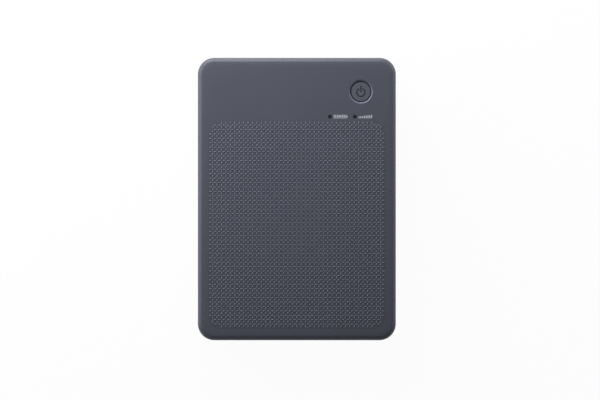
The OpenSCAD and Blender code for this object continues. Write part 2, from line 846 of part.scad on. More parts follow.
module board_chips() {
  color([0.07, 0.07, 0.08]) {
    chip(processor_at, processor_size);
    chip(driver_at, driver_size);
    for (i = [0:3])
      chip([processor_at[0] + coil_pitch * i, coil_row], coil_size);
    for (i = [0:5])
      chip([driver_at[0] - 13 + capacitor_pitch * i, capacitor_row], capacitor_size);
  }
}

module shield_can() {
  color([0.78, 0.79, 0.8])
    difference() {
      chip(shield_at, shield_size);
      translate([shield_t, shield_t, -shield_t])
        chip(shield_at, shield_size - [2 * shield_t, 2 * shield_t, 0]);
    }
}

module wireless_module() {
  color([0.1, 0.22, 0.3])
    difference() {
      chip(module_at, module_size);
      for (i = [0:4])
        translate([module_slot * (1.7 + 2.2 * i), -module_slot, module_size[2] - module_slot / 2])
          chip(module_at, [module_slot, 4 * module_slot, module_slot]);
    }
}

// Place of the battery and motor connectors on the board
battery_plug = [board_x1 - 12, board_y0 + 2, board_top];
motor_plug = [board_x1 - 8, motor_at[0] - 2.5, board_top];
plug_size = [5, 4, 2.1];
plug_wall = 0.6;

module board_connectors() {
  color([0.9, 0.89, 0.84])
    for (p = [battery_plug, motor_plug])
      translate(p)
        difference() {
          cube(plug_size);
          translate([plug_wall, plug_wall, plug_wall])
            cube(plug_size - [2 * plug_wall, 2 * plug_wall, 0]);
        }
}

module usb_port() {
  color([0.75, 0.75, 0.76]) {
    difference() {
      span([port_x0, port_y - port_w / 2, port_z - port_h / 2],
           [port_x0 + port_l, port_y + port_w / 2, port_z + port_h / 2]);
      span([port_x0 - 1, port_y - port_w / 2 + 0.35, port_z - port_h / 2 + 0.35],
           [port_x0 + port_l - 0.8, port_y + port_w / 2 - 0.35, port_z + port_h / 2 - 0.35]);
    }
    span([port_x0 + 1, port_y - port_w / 2 + 1.2, port_z - 0.35],
         [port_x0 + port_l - 0.8, port_y + port_w / 2 - 1.2, port_z + 0.35]);
  }
}

module drive_motor() {
  color([0.66, 0.67, 0.69]) {
    intersection() {
      bar(motor_at, motor_w / 2, motor_x0, motor_x1);
      span([motor_x0 - 1, motor_at[0] - motor_w, motor_at[1] - motor_h / 2],
           [motor_x1 + 1, motor_at[0] + motor_w, motor_at[1] + motor_h / 2]);
    }
    sleeve(motor_at, motor_boss_r, stud_r + run_gap, motor_x1, frame_out);
    for (s = [-1, 1])
      span([motor_x0 - 2, motor_at[0] + s * 3 - 0.8, motor_at[1] - 0.3],
           [motor_x0, motor_at[0] + s * 3 + 0.8, motor_at[1] + 0.3]);
  }
}

// Stud that an idler turns on, with its clip
module stud(at, end_x) {
  bar(at, stud_r, frame_out, end_x + 0.05 + stud_clip_t);
  bar(at, stud_clip_r, end_x + 0.05, end_x + 0.05 + stud_clip_t);
  bar(at, stud_clip_r, frame_out, plane_1 - 0.1);
}

module gear_studs() {
  color([0.75, 0.76, 0.78]) {
    for (at = [idler_1_at, idler_2_at, idler_4_at])
      stud(at, plane_1 + gear_w);
    stud(idler_3_at, plane_2 + gear_w);
  }
}

module shaft_bushes() {
  outer = shaft_r + run_gap + bush_t;
  color([0.7, 0.55, 0.3]) {
    for (side = [0, 1])
      mirror([side, 0, 0])
        for (at = [platen_at, capstan_at, pinch_at, pickup_at])
          sleeve(at, outer, shaft_r + run_gap, frame_x, frame_out);
    sleeve(takeup_at, outer, shaft_r + run_gap, frame_x, frame_out);
  }
}

module frame_screws() {
  color([0.6, 0.6, 0.62])
    for (side = [-1, 1])
      for (y = flange_ys)
        pan_screw(side * (frame_x - flange_w / 2), y, floor_z + frame_pad_h + frame_t,
                  frame_t + frame_pad_h + screw_bite - 0.2);
}

module board_screws() {
  color([0.6, 0.6, 0.62])
    for (h = board_holes)
      pan_screw(h[0], h[1], board_top, board_t + board_lift);
}

// ---------- ribbon cassette ----------

// One side of both cassette tubes cut at the height of the spool axes
module cassette_tubes(upper) {
  difference() {
    union() {
      bar(supply_at, supply_tube_r, -cassette_x, cassette_x);
      bar(takeup_at, takeup_tube_r, -cassette_x, cassette_x);
    }
    bar(supply_at, supply_tube_r - cassette_t, -cassette_x + cassette_t, cassette_x - cassette_t);
    bar(takeup_at, takeup_tube_r - cassette_t, -cassette_x + cassette_t, cassette_x - cassette_t);
    for (at = [supply_at, takeup_at])
      bar(at, shaft_r + run_gap, -cassette_x - 1, cassette_x + 1);
    cut_z = upper ? spool_z - 20 : spool_z;
    span([-cassette_x - 1, pickup_y, cut_z], [cassette_x + 1, half_l, cut_z + 20]);
    span([-head_x - 1, supply_at[0] + 0.8, spool_z - supply_tube_r - 1],
         [head_x + 1, supply_at[0] + supply_tube_r, spool_z - 4]);
    span([-head_x - 1, takeup_y - takeup_tube_r, spool_z - takeup_tube_r - 1],
         [head_x + 1, takeup_y + 2, spool_z - 3.4]);
  }
}

module cassette_lower_shell() {
  color([0.12, 0.12, 0.14]) {
    cassette_tubes(false);
    for (side = [0, 1])
      mirror([side, 0, 0]) {
        span([cassette_x - 3, supply_at[0] + supply_tube_r - 0.3, ribbon_z + 0.2],
             [cassette_x, takeup_y - takeup_tube_r + 0.3, spool_z]);
        span([cassette_x - 1, platen_y - 2.5, ribbon_z + 0.2],
             [frame_x, platen_y + 2.5, frame_low_z - 0.5]);
      }
  }
}

module cassette_upper_shell() {
  color([0.16, 0.16, 0.18])
    cassette_tubes(true);
}

// Point where a line from p leaves a circle at c on its lower side
function lower_tangent(c, r, p, turn) =
  let (a = angle_to(c, p) + turn * acos(r / norm(p - c)))
  c + r * [cos(a), sin(a)];

module ribbon_web() {
  rear = [platen_y - head_l / 2 - 1, ribbon_z];
  front = [platen_y + head_l / 2 + 1, ribbon_z];
  off = lower_tangent(supply_at, supply_roll_r + 0.02, rear, -1);
  on = lower_tangent(takeup_at, takeup_roll_r + ribbon_t + 0.02, front, 1);
  up = [0, ribbon_t];
  color([0.35, 0.08, 0.12, 0.9])
    translate([-head_x + 0.5, 0, 0])
      rotate([90, 0, 90])
        linear_extrude(2 * head_x - 1)
          polygon([off - up, rear, front, on - up, on, front + up, rear + up, off]);
}

module supply_spool() {
  color([0.4, 0.1, 0.14])
    difference() {
      union() {
        bar(supply_at, shaft_r, -cassette_x, cassette_x);
        bar(supply_at, supply_roll_r, -head_x + 0.5, head_x - 0.5);
        for (side = [0, 1])
          mirror([side, 0, 0])
            bar(supply_at, 3, head_x + 1, cassette_x - cassette_t - 0.1);
      }
      bar(supply_at, shaft_r - 0.7, -cassette_x - 1, -head_x);
      bar(supply_at, shaft_r - 0.7, head_x, cassette_x + 1);
    }
}

module takeup_spool() {
  color([0.85, 0.85, 0.83]) {
    bar(takeup_at, shaft_r, -cassette_x, plane_2 + gear_w);
    bar(takeup_at, takeup_roll_r, -head_x + 0.5, head_x - 0.5);
    for (side = [0, 1])
      mirror([side, 0, 0])
        bar(takeup_at, 3.6, head_x + 0.6, head_x + 1.6);
  }
}

// ---------- rollers and gears ----------

module platen_roller() {
  color([0.1, 0.1, 0.1])
    sleeve(platen_at, platen_r, shaft_r, -platen_l / 2, platen_l / 2);
}

module platen_shaft() {
  color([0.75, 0.76, 0.78])
    bar(platen_at, shaft_r, -journal_x, plane_1 + gear_w);
}

module capstan_roller() {
  color([0.7, 0.71, 0.73]) {
    bar(capstan_at, shaft_r, -journal_x, plane_1 + gear_w);
    bar(capstan_at, capstan_r, -platen_l / 2 + 1, platen_l / 2 - 1);
  }
}

module pinch_roller() {
  color([0.13, 0.13, 0.13]) {
    bar(pinch_at, shaft_r, -journal_x, frame_out);
    bar(pinch_at, pinch_r, -platen_l / 2 + 1, platen_l / 2 - 1);
  }
}

tyre_w = 12;
tyre_x = 10;

module pickup_tyres() {
  color([0.2, 0.2, 0.2])
    for (side = [0, 1])
      mirror([side, 0, 0])
        sleeve(pickup_at, pickup_r, shaft_r, tyre_x, tyre_x + tyre_w);
}

module pickup_shaft() {
  color([0.75, 0.76, 0.78])
    bar(pickup_at, shaft_r, -journal_x, plane_1 + gear_w);
}

module driven_gear(at, teeth, phase, x0) {
  color([0.9, 0.9, 0.86])
    gear(at, teeth, phase, shaft_r, x0, gear_w);
}

module idler(at, teeth, phase, width) {
  color([0.88, 0.88, 0.84])
    gear(at, teeth, phase, stud_r + run_gap, plane_1, width);
}

module platen_gear() {
  driven_gear(platen_at, roller_teeth, platen_phase, plane_1);
}

module capstan_gear() {
  driven_gear(capstan_at, capstan_teeth, capstan_phase, plane_1);
}

module pickup_gear() {
  driven_gear(pickup_at, roller_teeth, pickup_phase, plane_1);
}

module takeup_gear() {
  driven_gear(takeup_at, roller_teeth, takeup_phase, plane_2);
}

module motor_pinion() {
  color([0.8, 0.68, 0.35]) {
    gear(motor_at, small_teeth, motor_phase, stud_r, plane_1, gear_w);
    bar(motor_at, stud_r, motor_x1 + 0.05, plane_1 + gear_w + 0.2);
  }
}

module idler_gear_1() {
  idler(idler_1_at, roller_teeth, idler_1_phase, gear_w);
}

module idler_gear_2() {
  idler(idler_2_at, idler_2_teeth, idler_2_phase, gear_w);
}

module idler_gear_3() {
  idler(idler_3_at, small_teeth, idler_3_phase, 2 * gear_w + gear_gap);
}

module idler_gear_4() {
  idler(idler_4_at, idler_4_teeth, idler_4_phase, gear_w);
}

// ---------- lift plate ----------

slot_w = 16;
slot_r = 4;

module lift_plate() {
  color([0.7, 0.71, 0.72]) {
    difference() {
      span([-paper_w / 2 + 0.5, plate_pivot_y - 2, plate_z],
           [paper_w / 2 - 0.5, plate_y1, plate_z + plate_t]);
      for (x = [-paper_w / 4, paper_w / 4])
        translate([x, (plate_pivot_y + plate_y1) / 2, plate_z - 1])
          slab(slot_w, (plate_y1 - plate_pivot_y) / 2, plate_t + 2, slot_r);
    }
    bar([plate_pivot_y, plate_pivot_z], plate_pin_r, -tray_x + 0.1, -paper_w / 2 + 1);
    bar([plate_pivot_y, plate_pivot_z], plate_pin_r, paper_w / 2 - 1, tray_x - 0.1);
  }
}

module paper_stack() {
  color([0.95, 0.95, 0.94])
    span([-paper_w / 2, stack_y, plate_z + plate_t],
         [paper_w / 2, stack_y + paper_l, plate_z + plate_t + stack_h]);
}

module lift_springs() {
  color([0.75, 0.76, 0.78])
    for (x = [-lift_spring_x, lift_spring_x])
      translate([x, pickup_y - 4, tray_floor_z - 0.3])
        coil(2, 0.15, plate_z - tray_floor_z + 0.3, 3);
}

// ---------- latch ----------

module open_lever() {
  color([0.24, 0.25, 0.28]) {
    difference() {
      span([-half_w, lever_y - lever_l / 2, lever_z0],
           [-half_w + recess_d - seat_gap, lever_y + lever_l / 2, lever_z1]);
      for (i = [-2:2])
        span([-half_w - 1, lever_y + 1.4 * i - 0.25, lever_z0 + 0.8],
             [-half_w + 0.35, lever_y + 1.4 * i + 0.25, lever_z1 - 0.8]);
    }
    span([-half_w + recess_d - seat_gap, lever_y - 2, lever_z0 + 2.2],
         [-latch_out, lever_y + 2, lever_z1 - 1.2]);
  }
}

module latch_hook() {
  color([0.72, 0.73, 0.75]) {
    span([-latch_out, lug_y, latch_foot_z], [-latch_in, lever_y + 3, lever_z1 + 0.5]);
    span([-latch_out, lever_y - 3, lever_z1], [-latch_in, lever_y + 1, hook_z + hook_t]);
    span([-latch_out, lever_y, hook_z], [-latch_in, catch_y + hook_bite, hook_z + hook_t]);
    span([-latch_out, lug_y, latch_foot_z], [-latch_in + 2, lug_y + lug_t, latch_foot_z + 4]);
  }
}

module lever_spring() {
  color([0.75, 0.76, 0.78])
    translate([-latch_in + 1, stop_y + 1 + 0.02, latch_foot_z + 2])
      rotate([-90, 0, 0])
        coil(0.8, 0.14, lug_y - stop_y - 1 - 0.04, 6);
}

// ---------- lid and what it carries ----------

module lid_skin() {
  difference() {
    union() {
      difference() {
        translate([0, 0, lid_rim_z])
          filleted_slab(body_w, body_l, body_h - lid_rim_z, corner_r, edge_r);
        translate([0, 0, lid_rim_z - 1])
          slab(2 * inner_x, 2 * inner_y, roof_z - lid_rim_z + 1, corner_r - wall_t);
      }
      intersection() {
        bar([hinge_y, hinge_z], knuckle_r, -half_w, half_w);
        translate([0, 0, hinge_z - 5])
          slab(body_w, body_l, 10, corner_r);
      }
    }
    for (side = [0, 1])
      mirror([side, 0, 0]) {
        bar([hinge_y, hinge_z], scoop_r, knuckle_x - knuckle_gap,
            knuckle_x + knuckle_len + knuckle_gap);
        bar([hinge_y, hinge_z], pin_r + run_gap, pin_x - 0.2, pin_x + pin_len + 0.2);
      }
    translate([button_x, button_y, roof_z - 1]) {
      cylinder(r = button_hole_r, h = roof_t + 2);
      translate([0, 0, 1 + roof_t - button_dish])
        cylinder(r1 = button_hole_r, r2 = button_hole_r + button_dish, h = button_dish);
    }
    for (p = lamps)
      post(p[0], p[1], roof_z - 1, body_h + 1, lens_r + run_gap);
  }
}

module lid_shell() {
  color(case_color) {
    lid_skin();
    for (p = carrier_posts)
      difference() {
        post(p[0], p[1], carrier_z + carrier_t, roof_z + 0.5, post_r);
        post(p[0], p[1], carrier_z, roof_z - 0.5, screw_r + 0.02);
      }
    for (p = panel_posts)
      difference() {
        post(p[0], p[1], panel_top, roof_z + 0.5, post_r);
        post(p[0], p[1], panel_top - 1, roof_z - 0.2, screw_r + 0.02);
      }
  }
}

module lid_catch() {
  color([0.72, 0.73, 0.75])
    span([-inner_x, catch_y, catch_z], [-latch_in + 0.6, catch_y + 4, catch_z + catch_t]);
}

module button_board() {
  color([0.06, 0.28, 0.16])
    difference() {
      span([panel_x0, panel_y0, panel_z], [panel_x1, panel_y1, panel_top]);
      for (p = panel_posts)
        post(p[0], p[1], panel_z - 1, panel_top + 1, screw_r + 0.1);
    }
}

module button_board_parts() {
  color([0.85, 0.85, 0.8]) {
    translate([button_x, button_y, 0]) {
      span([-1.8, -1.8, panel_top], [1.8, 1.8, panel_top + 0.45]);
      post(0, 0, panel_top + 0.4, switch_top, 0.9);
    }
    for (p = lamps)
      span([p[0] - 0.8, p[1] - 0.5, panel_top], [p[0] + 0.8, p[1] + 0.5, panel_top + 0.6]);
  }
}

module lamp_lenses() {
  color([0.12, 0.12, 0.13])
    for (p = lamps) {
      post(p[0], p[1], roof_z - 0.1, body_h, lens_r);
      post(p[0], p[1], roof_z - 0.7, roof_z, lens_flange_r);
    }
}

module power_button() {
  color([0.33, 0.34, 0.37])
    translate([button_x, button_y, 0]) {
      difference() {
        post(0, 0, flange_z, button_top, button_r);
        post(0, 0, flange_z + flange_t, button_top - 0.8, button_r - 1.2);
      }
      post(0, 0, flange_z, flange_z + flange_t, button_hole_r + 0.6);
    }
}

module button_spring() {
  color([0.75, 0.76, 0.78])
    translate([button_x, button_y, panel_top])
      coil(4.4, 0.12, flange_z - panel_top - 0.02, 2);
}

module head_carrier() {
  color([0.68, 0.69, 0.71])
    difference() {
      union() {
        span([-carrier_x, platen_y - carrier_l / 2, carrier_z],
             [carrier_x, platen_y + carrier_l / 2, carrier_z + carrier_t]);
        for (side = [0, 1])
          mirror([side, 0, 0])
            span([ear_x0, platen_y - head_l / 2, guide_pin_z - 2.5],
                 [ear_x0 + ear_t, platen_y + head_l / 2, carrier_z + 0.5]);
      }
      span([-carrier_x, platen_y - guide_pin_r - run_gap, guide_pin_z - guide_pin_r - run_gap],
           [carrier_x, platen_y + guide_pin_r + run_gap, guide_pin_z + guide_pin_r + head_travel + 0.1]);
      for (p = carrier_posts)
        post(p[0], p[1], carrier_z - 1, carrier_z + 2, screw_r + 0.1);
    }
}

module lid_screws() {
  color([0.6, 0.6, 0.62]) {
    for (p = carrier_posts)
      translate([0, 0, 2 * carrier_z])
        mirror([0, 0, 1])
          pan_screw(p[0], p[1], carrier_z, carrier_t + 2);
    for (p = panel_posts)
      translate([0, 0, 2 * panel_z])
        mirror([0, 0, 1])
          post(p[0], p[1], panel_z - panel_t - 0.6, panel_z, screw_r);
  }
}

module head_springs() {
  color([0.75, 0.76, 0.78])
    for (x = [-head_spring_x, head_spring_x])
      translate([x, platen_y, bracket_z + bracket_t])
        coil(head_spring_r, 0.2, carrier_z - bracket_z - bracket_t - 0.02, 4);
}

module head_bracket() {
  color([0.7, 0.71, 0.73]) {
    span([-head_x, platen_y - head_l / 2, bracket_z],
         [head_x, platen_y + head_l / 2, bracket_z + bracket_t]);
    for (side = [0, 1])
      mirror([side, 0, 0]) {
        span([head_x - 1, platen_y - 2, guide_pin_z - 1.5], [head_x, platen_y + 2, bracket_z]);
        bar([platen_y, guide_pin_z], guide_pin_r, head_x, ear_x0 + ear_t + 0.3);
      }
  }
}

module head_heatsink() {
  fins = 5;
  fin_gap = 0.9;
  pitch = head_l / fins;
  color([0.8, 0.81, 0.82])
    difference() {
      span([-head_x + 1.2, platen_y - head_l / 2, sink_z],
           [head_x - 1.2, platen_y + head_l / 2, bracket_z]);
      for (i = [0:fins - 2])
        span([-head_x, platen_y - head_l / 2 + pitch * (i + 1) - fin_gap / 2, sink_z + 2],
             [head_x, platen_y - head_l / 2 + pitch * (i + 1) + fin_gap / 2, bracket_z - 1]);
    }
}

module thermal_head() {
  color([0.82, 0.8, 0.74])
    span([-head_x + 0.5, platen_y - head_l / 2, head_z],
         [head_x - 0.5, platen_y + head_l / 2, sink_z]);
}

// ---------- leads ----------

module wiring_leads() {
  lead_r = 0.45;
  color([0.7, 0.1, 0.08])
    for (i = [0, 1]) {
      bx = battery_plug[0] + 1.7 + 1.6 * i;
      lead([[bx, battery_y1 + lead_r, floor_z + 3.4], [bx, battery_y1 + lead_r, board_top + 2.7],
            [bx, battery_plug[1] + 2, board_top + 2.7], [bx, battery_plug[1] + 2, board_top + 1.2]], lead_r);
      my = motor_at[0] + (i == 0 ? -3 : 3);
      lead([[motor_x0 - 1.6, my, motor_at[1] + 0.3 + lead_r],
            [motor_plug[0] + 1.7 + 1.6 * i, motor_plug[1] + 2, board_top + 4],
            [motor_plug[0] + 1.7 + 1.6 * i, motor_plug[1] + 2, board_top + 1.2]], lead_r);
    }
}

base_case();
rubber_feet();
hinge_pins();
paper_tray();
left_side_frame();
right_side_frame();
frame_bridge();
battery_pack();
main_board();
board_chips();
shield_can();
wireless_module();
board_connectors();
usb_port();
drive_motor();
gear_studs();
shaft_bushes();
case_screws();
frame_screws();
board_screws();
cassette_lower_shell();
cassette_upper_shell();
ribbon_web();
wiring_leads();
lever_spring();
lift_springs();
open_lever();
latch_hook();
lid_shell();
button_board();
button_board_parts();
lamp_lenses();
lid_catch();
head_carrier();
head_springs();
button_spring();
lid_screws();
head_bracket();
head_heatsink();
thermal_head();
power_button();
lift_plate();
paper_stack();
platen_roller();
platen_shaft();
platen_gear();
capstan_roller();
capstan_gear();
pinch_roller();
pickup_tyres();
pickup_shaft();
pickup_gear();
motor_pinion();
idler_gear_1();
idler_gear_2();
idler_gear_3();
idler_gear_4();
takeup_spool();
takeup_gear();
supply_spool();
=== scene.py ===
"""Compact photo printer, dressed in its finishes and set up in a plain light studio.

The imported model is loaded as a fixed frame. Each sub-assembly below is a class that keeps its
own sizes in millimetres, models its pieces with Blender's operators and dresses them, and each
finish is a small frozen class that paints one procedural material.
"""

import json
import logging
import math
from collections.abc import Callable, Mapping, Sequence
from dataclasses import dataclass, field, replace
from enum import Enum
from typing import ClassVar

import bmesh
import bpy
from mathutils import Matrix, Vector

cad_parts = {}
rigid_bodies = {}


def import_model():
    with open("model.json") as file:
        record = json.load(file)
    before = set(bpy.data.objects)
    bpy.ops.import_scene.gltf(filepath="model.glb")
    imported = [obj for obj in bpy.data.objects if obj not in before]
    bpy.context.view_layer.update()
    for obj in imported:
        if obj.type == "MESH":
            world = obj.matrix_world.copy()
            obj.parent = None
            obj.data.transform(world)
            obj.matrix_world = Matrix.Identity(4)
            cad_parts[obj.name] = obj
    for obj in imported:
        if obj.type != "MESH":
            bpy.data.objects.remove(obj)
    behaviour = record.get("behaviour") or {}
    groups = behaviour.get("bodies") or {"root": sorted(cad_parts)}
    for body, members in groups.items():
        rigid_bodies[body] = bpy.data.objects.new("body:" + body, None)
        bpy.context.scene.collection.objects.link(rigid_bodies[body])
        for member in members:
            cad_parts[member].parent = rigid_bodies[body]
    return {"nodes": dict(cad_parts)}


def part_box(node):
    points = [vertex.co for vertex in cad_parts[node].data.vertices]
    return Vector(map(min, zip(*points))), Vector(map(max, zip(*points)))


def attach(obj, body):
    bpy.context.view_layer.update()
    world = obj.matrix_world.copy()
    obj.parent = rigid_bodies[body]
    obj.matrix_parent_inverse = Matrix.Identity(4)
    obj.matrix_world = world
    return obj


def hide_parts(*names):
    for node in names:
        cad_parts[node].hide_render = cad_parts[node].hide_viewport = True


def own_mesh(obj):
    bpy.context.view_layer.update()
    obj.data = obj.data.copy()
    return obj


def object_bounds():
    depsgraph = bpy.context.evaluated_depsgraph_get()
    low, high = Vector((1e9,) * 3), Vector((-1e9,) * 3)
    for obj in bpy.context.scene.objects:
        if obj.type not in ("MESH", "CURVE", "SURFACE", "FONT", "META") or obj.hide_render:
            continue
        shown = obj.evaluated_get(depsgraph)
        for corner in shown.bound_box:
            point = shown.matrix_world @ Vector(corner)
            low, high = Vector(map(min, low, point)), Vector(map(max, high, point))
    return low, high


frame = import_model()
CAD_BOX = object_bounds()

log = logging.getLogger("photo_printer")

MM = 0.001
Colour = tuple[float, float, float]
Point = tuple[float, float, float]
Pair = tuple[float, float]
Piece = bpy.types.Object
Socket = bpy.types.NodeSocket
Test = Callable[[Vector, Vector], bool]


def srgb(red: int, green: int, blue: int) -> Colour:
    """Turns an sRGB value into a linear colour.

    Args:
        red: red, from 0 to 255.
        green: green, from 0 to 255.
        blue: blue, from 0 to 255.

    Returns:
        The linear colour.
    """
    def linear(level: int) -> float:
        """Linear share of one 8-bit channel."""
        share = level / 255
        return share / 12.92 if share <= 0.04045 else ((share + 0.055) / 1.055) ** 2.4

    return linear(red), linear(green), linear(blue)


def shaded(colour: Colour, factor: float) -> Colour:
    """A colour made darker or lighter by a factor."""
    return colour[0] * factor, colour[1] * factor, colour[2] * factor


# ---------------------------------------------------------------- shader maths


class Value:
    """A float socket that Python's operators combine by adding Math nodes."""

    def __init__(self, graph: "Graph", socket: Socket) -> None:
        """Keeps the graph that the socket belongs to."""
        self.graph = graph
        self.socket = socket

    def _math(self, operation: str, *inputs: object) -> "Value":
        """Adds one Math node and returns its output."""
        return self.graph.reading("ShaderNodeMath", {"operation": operation},
                                  dict(enumerate(inputs)))

    def __add__(self, other: object) -> "Value":
        """self + other."""
        return self._math("ADD", self, other)

    __radd__ = __add__

    def __sub__(self, other: object) -> "Value":
        """self - other."""
        return self._math("SUBTRACT", self, other)

    def __rsub__(self, other: object) -> "Value":
        """other - self."""
        return self._math("SUBTRACT", other, self)

    def __mul__(self, other: object) -> "Value":
        """self * other."""
        return self._math("MULTIPLY", self, other)

    __rmul__ = __mul__

    def __mod__(self, other: object) -> "Value":
        """self modulo other, never below zero."""
        return self._math("FLOORED_MODULO", self, other)

    def __gt__(self, other: object) -> "Value":
        """1 where self is above other."""
        return self._math("GREATER_THAN", self, other)

    def __lt__(self, other: object) -> "Value":
        """1 where self is below other."""
        return self._math("LESS_THAN", self, other)

    def __abs__(self) -> "Value":
        """Size of self without its sign."""
        return self._math("ABSOLUTE", self)

    def positive(self) -> "Value":
        """self, or 0 where it is below 0."""
        return self._math("MAXIMUM", self, 0.0)

    def clipped(self) -> "Value":
        """self held between 0 and 1."""
        return self.graph.reading("ShaderNodeClamp", {}, {"Value": self})

    def hypot(self, other: "Value") -> "Value":
        """Length of the way along self and across along other."""
        return self._math("SQRT", self * self + other * other)

    def beat(self, rate: float) -> "Value":
        """Distance from the middle of each repeat, 0 to 0.5, with `rate` repeats per unit."""
        return abs((self * rate) % 1 - 0.5)

    def step(self, at: float, slope: float) -> "Value":
        """0 below a value and 1 well above it, with a slope between."""
        return ((self - at) * slope).clipped()


class Graph:
    """The node tree of one material, built round one Principled shader."""

    def __init__(self, name: str) -> None:
        """Starts an empty material.

        Args:
            name: name of the material.
        """
        self.material = bpy.data.materials.new(name)
        self.material.use_nodes = True
        self.tree = self.material.node_tree
        self.tree.nodes.clear()
        self.surface = self.node("ShaderNodeBsdfPrincipled", {}, {})
        self.output = self.node("ShaderNodeOutputMaterial", {}, {0: self.surface.outputs[0]})
        self.place = self.node("ShaderNodeTexCoord", {}, {}).outputs["Object"]

    def plug(self, target: Socket, given: object) -> None:
        """Links or sets one input.

        Args:
            target: the input.
            given: a value or socket to link, or a number, vector or colour to set.
        """
        given = given.socket if isinstance(given, Value) else given
        if isinstance(given, Socket):
            self.tree.links.new(given, target)
        else:
            target.default_value = (*given, 1.0) if target.type == "RGBA" else given

    def node(self, kind: str, settings: Mapping[str, object],
             sockets: Mapping[object, object]) -> bpy.types.Node:
        """Adds a node of any kind.

        Args:
            kind: the node's type, such as ShaderNodeTexNoise.
            settings: its properties, set first.
            sockets: a value or a link for each input, by name or number.

        Returns:
            The new node.
        """
        made = self.tree.nodes.new(kind)
        for name, setting in settings.items():
            setattr(made, name, setting)
        for name, given in sockets.items():
            self.plug(made.inputs[name], given)
        return made

    def reading(self, kind: str, settings: Mapping[str, object],
                sockets: Mapping[object, object], output: object = 0) -> Value:
        """One float output of a new node, by name or number."""
        return Value(self, self.node(kind, settings, sockets).outputs[output])

    def noise(self, size: float, detail: float, stretch: Point = (1, 1, 1),
              rough: float = 0.5) -> Value:
        """Adds a noise on the object's coordinates.

        Args:
            size: about how many millimetres its cells are across.
            detail: how many finer layers it has.
            stretch: factor for each coordinate; a small one draws the cells out along it.
            rough: how strong the finer layers are.

        Returns:
            The noise, from 0 to 1.
        """
        place = self.node("ShaderNodeMapping", {}, {"Vector": self.place, "Scale": Vector(stretch)})
        sockets = {"Vector": place.outputs[0], "Scale": 1 / (size * MM), "Detail": detail,
                   "Roughness": rough}
        return self.reading("ShaderNodeTexNoise", {}, sockets)

    def cells(self, size: float, feature: str = "F1") -> Value:
        """Distance field of cells about `size` millimetres across."""
        sockets = {"Vector": self.place, "Scale": 1 / (size * MM)}
        return self.reading("ShaderNodeTexVoronoi", {"feature": feature}, sockets)

    def axis(self, letter: str) -> Value:
        """One object coordinate in millimetres."""
        return self.reading("ShaderNodeSeparateXYZ", {}, {0: self.place}, letter) * (1 / MM)

    def facing_up(self) -> Value:
        """How far the surface faces up, from -1 to 1."""
        normal = self.node("ShaderNodeTexCoord", {}, {}).outputs["Normal"]
        return self.reading("ShaderNodeSeparateXYZ", {}, {0: normal}, "Z")

    def mix(self, low: object, high: object, share: object) -> Socket:
        """Colour between low and high."""
        sockets = {0: share, 6: low, 7: high}
        return self.node("ShaderNodeMix", {"data_type": "RGBA"}, sockets).outputs[2]

    def bump(self, height: Value, depth: float, strength: float) -> None:
        """Feeds the shader a relief of some depth in millimetres, of which a share shows."""
        sockets = {"Height": height, "Distance": depth * MM, "Strength": strength}
        self.feed(Normal=self.node("ShaderNodeBump", {}, sockets).outputs[0])

    def feed(self, **sockets: object) -> None:
        """Sets or links the Principled shader's sockets, named with underscores for spaces."""
        for name, given in sockets.items():
            self.plug(self.surface.inputs[name.replace("_", " ")], given)


# ---------------------------------------------------------------- finishes


class Run(Enum):
    """Direction in which a surface was drawn, rolled, turned or wound, as its grain's stretch."""

    WIDTH = (0.03, 1, 1)
    LENGTH = (1, 0.03, 1)
    HEIGHT = (1, 1, 0.03)
    TURNED = (1, 0.04, 0.04)
    WOUND = (1, 0.1, 0.1)


@dataclass(frozen=True)
class Finish:
    """One procedural material; each kind of finish paints it in its own way."""

    name: str

    def material(self) -> bpy.types.Material:
        """Builds the material.

        Returns:
            The new material.
        """
        graph = Graph(self.name)
        self.paint(graph)
        return graph.material

    def paint(self, graph: Graph) -> None:
        """Adds the nodes of this kind of finish."""
        raise NotImplementedError


@dataclass(frozen=True)
class Tinted(Finish):
    """A finish whose colour varies between a darkest and a lightest tone of one colour."""

    colour: Colour
    tones: ClassVar[Pair] = (0.9, 1.1)

    def tone(self, factor: float) -> Colour:
        """The colour made darker or lighter by a factor."""
        return shaded(self.colour, factor)

    def varied(self, graph: Graph, share: Value) -> Socket:
        """The colour between its darkest and its lightest tone."""
        darkest, lightest = self.tones
        return graph.mix(self.tone(darkest), self.tone(lightest), share)


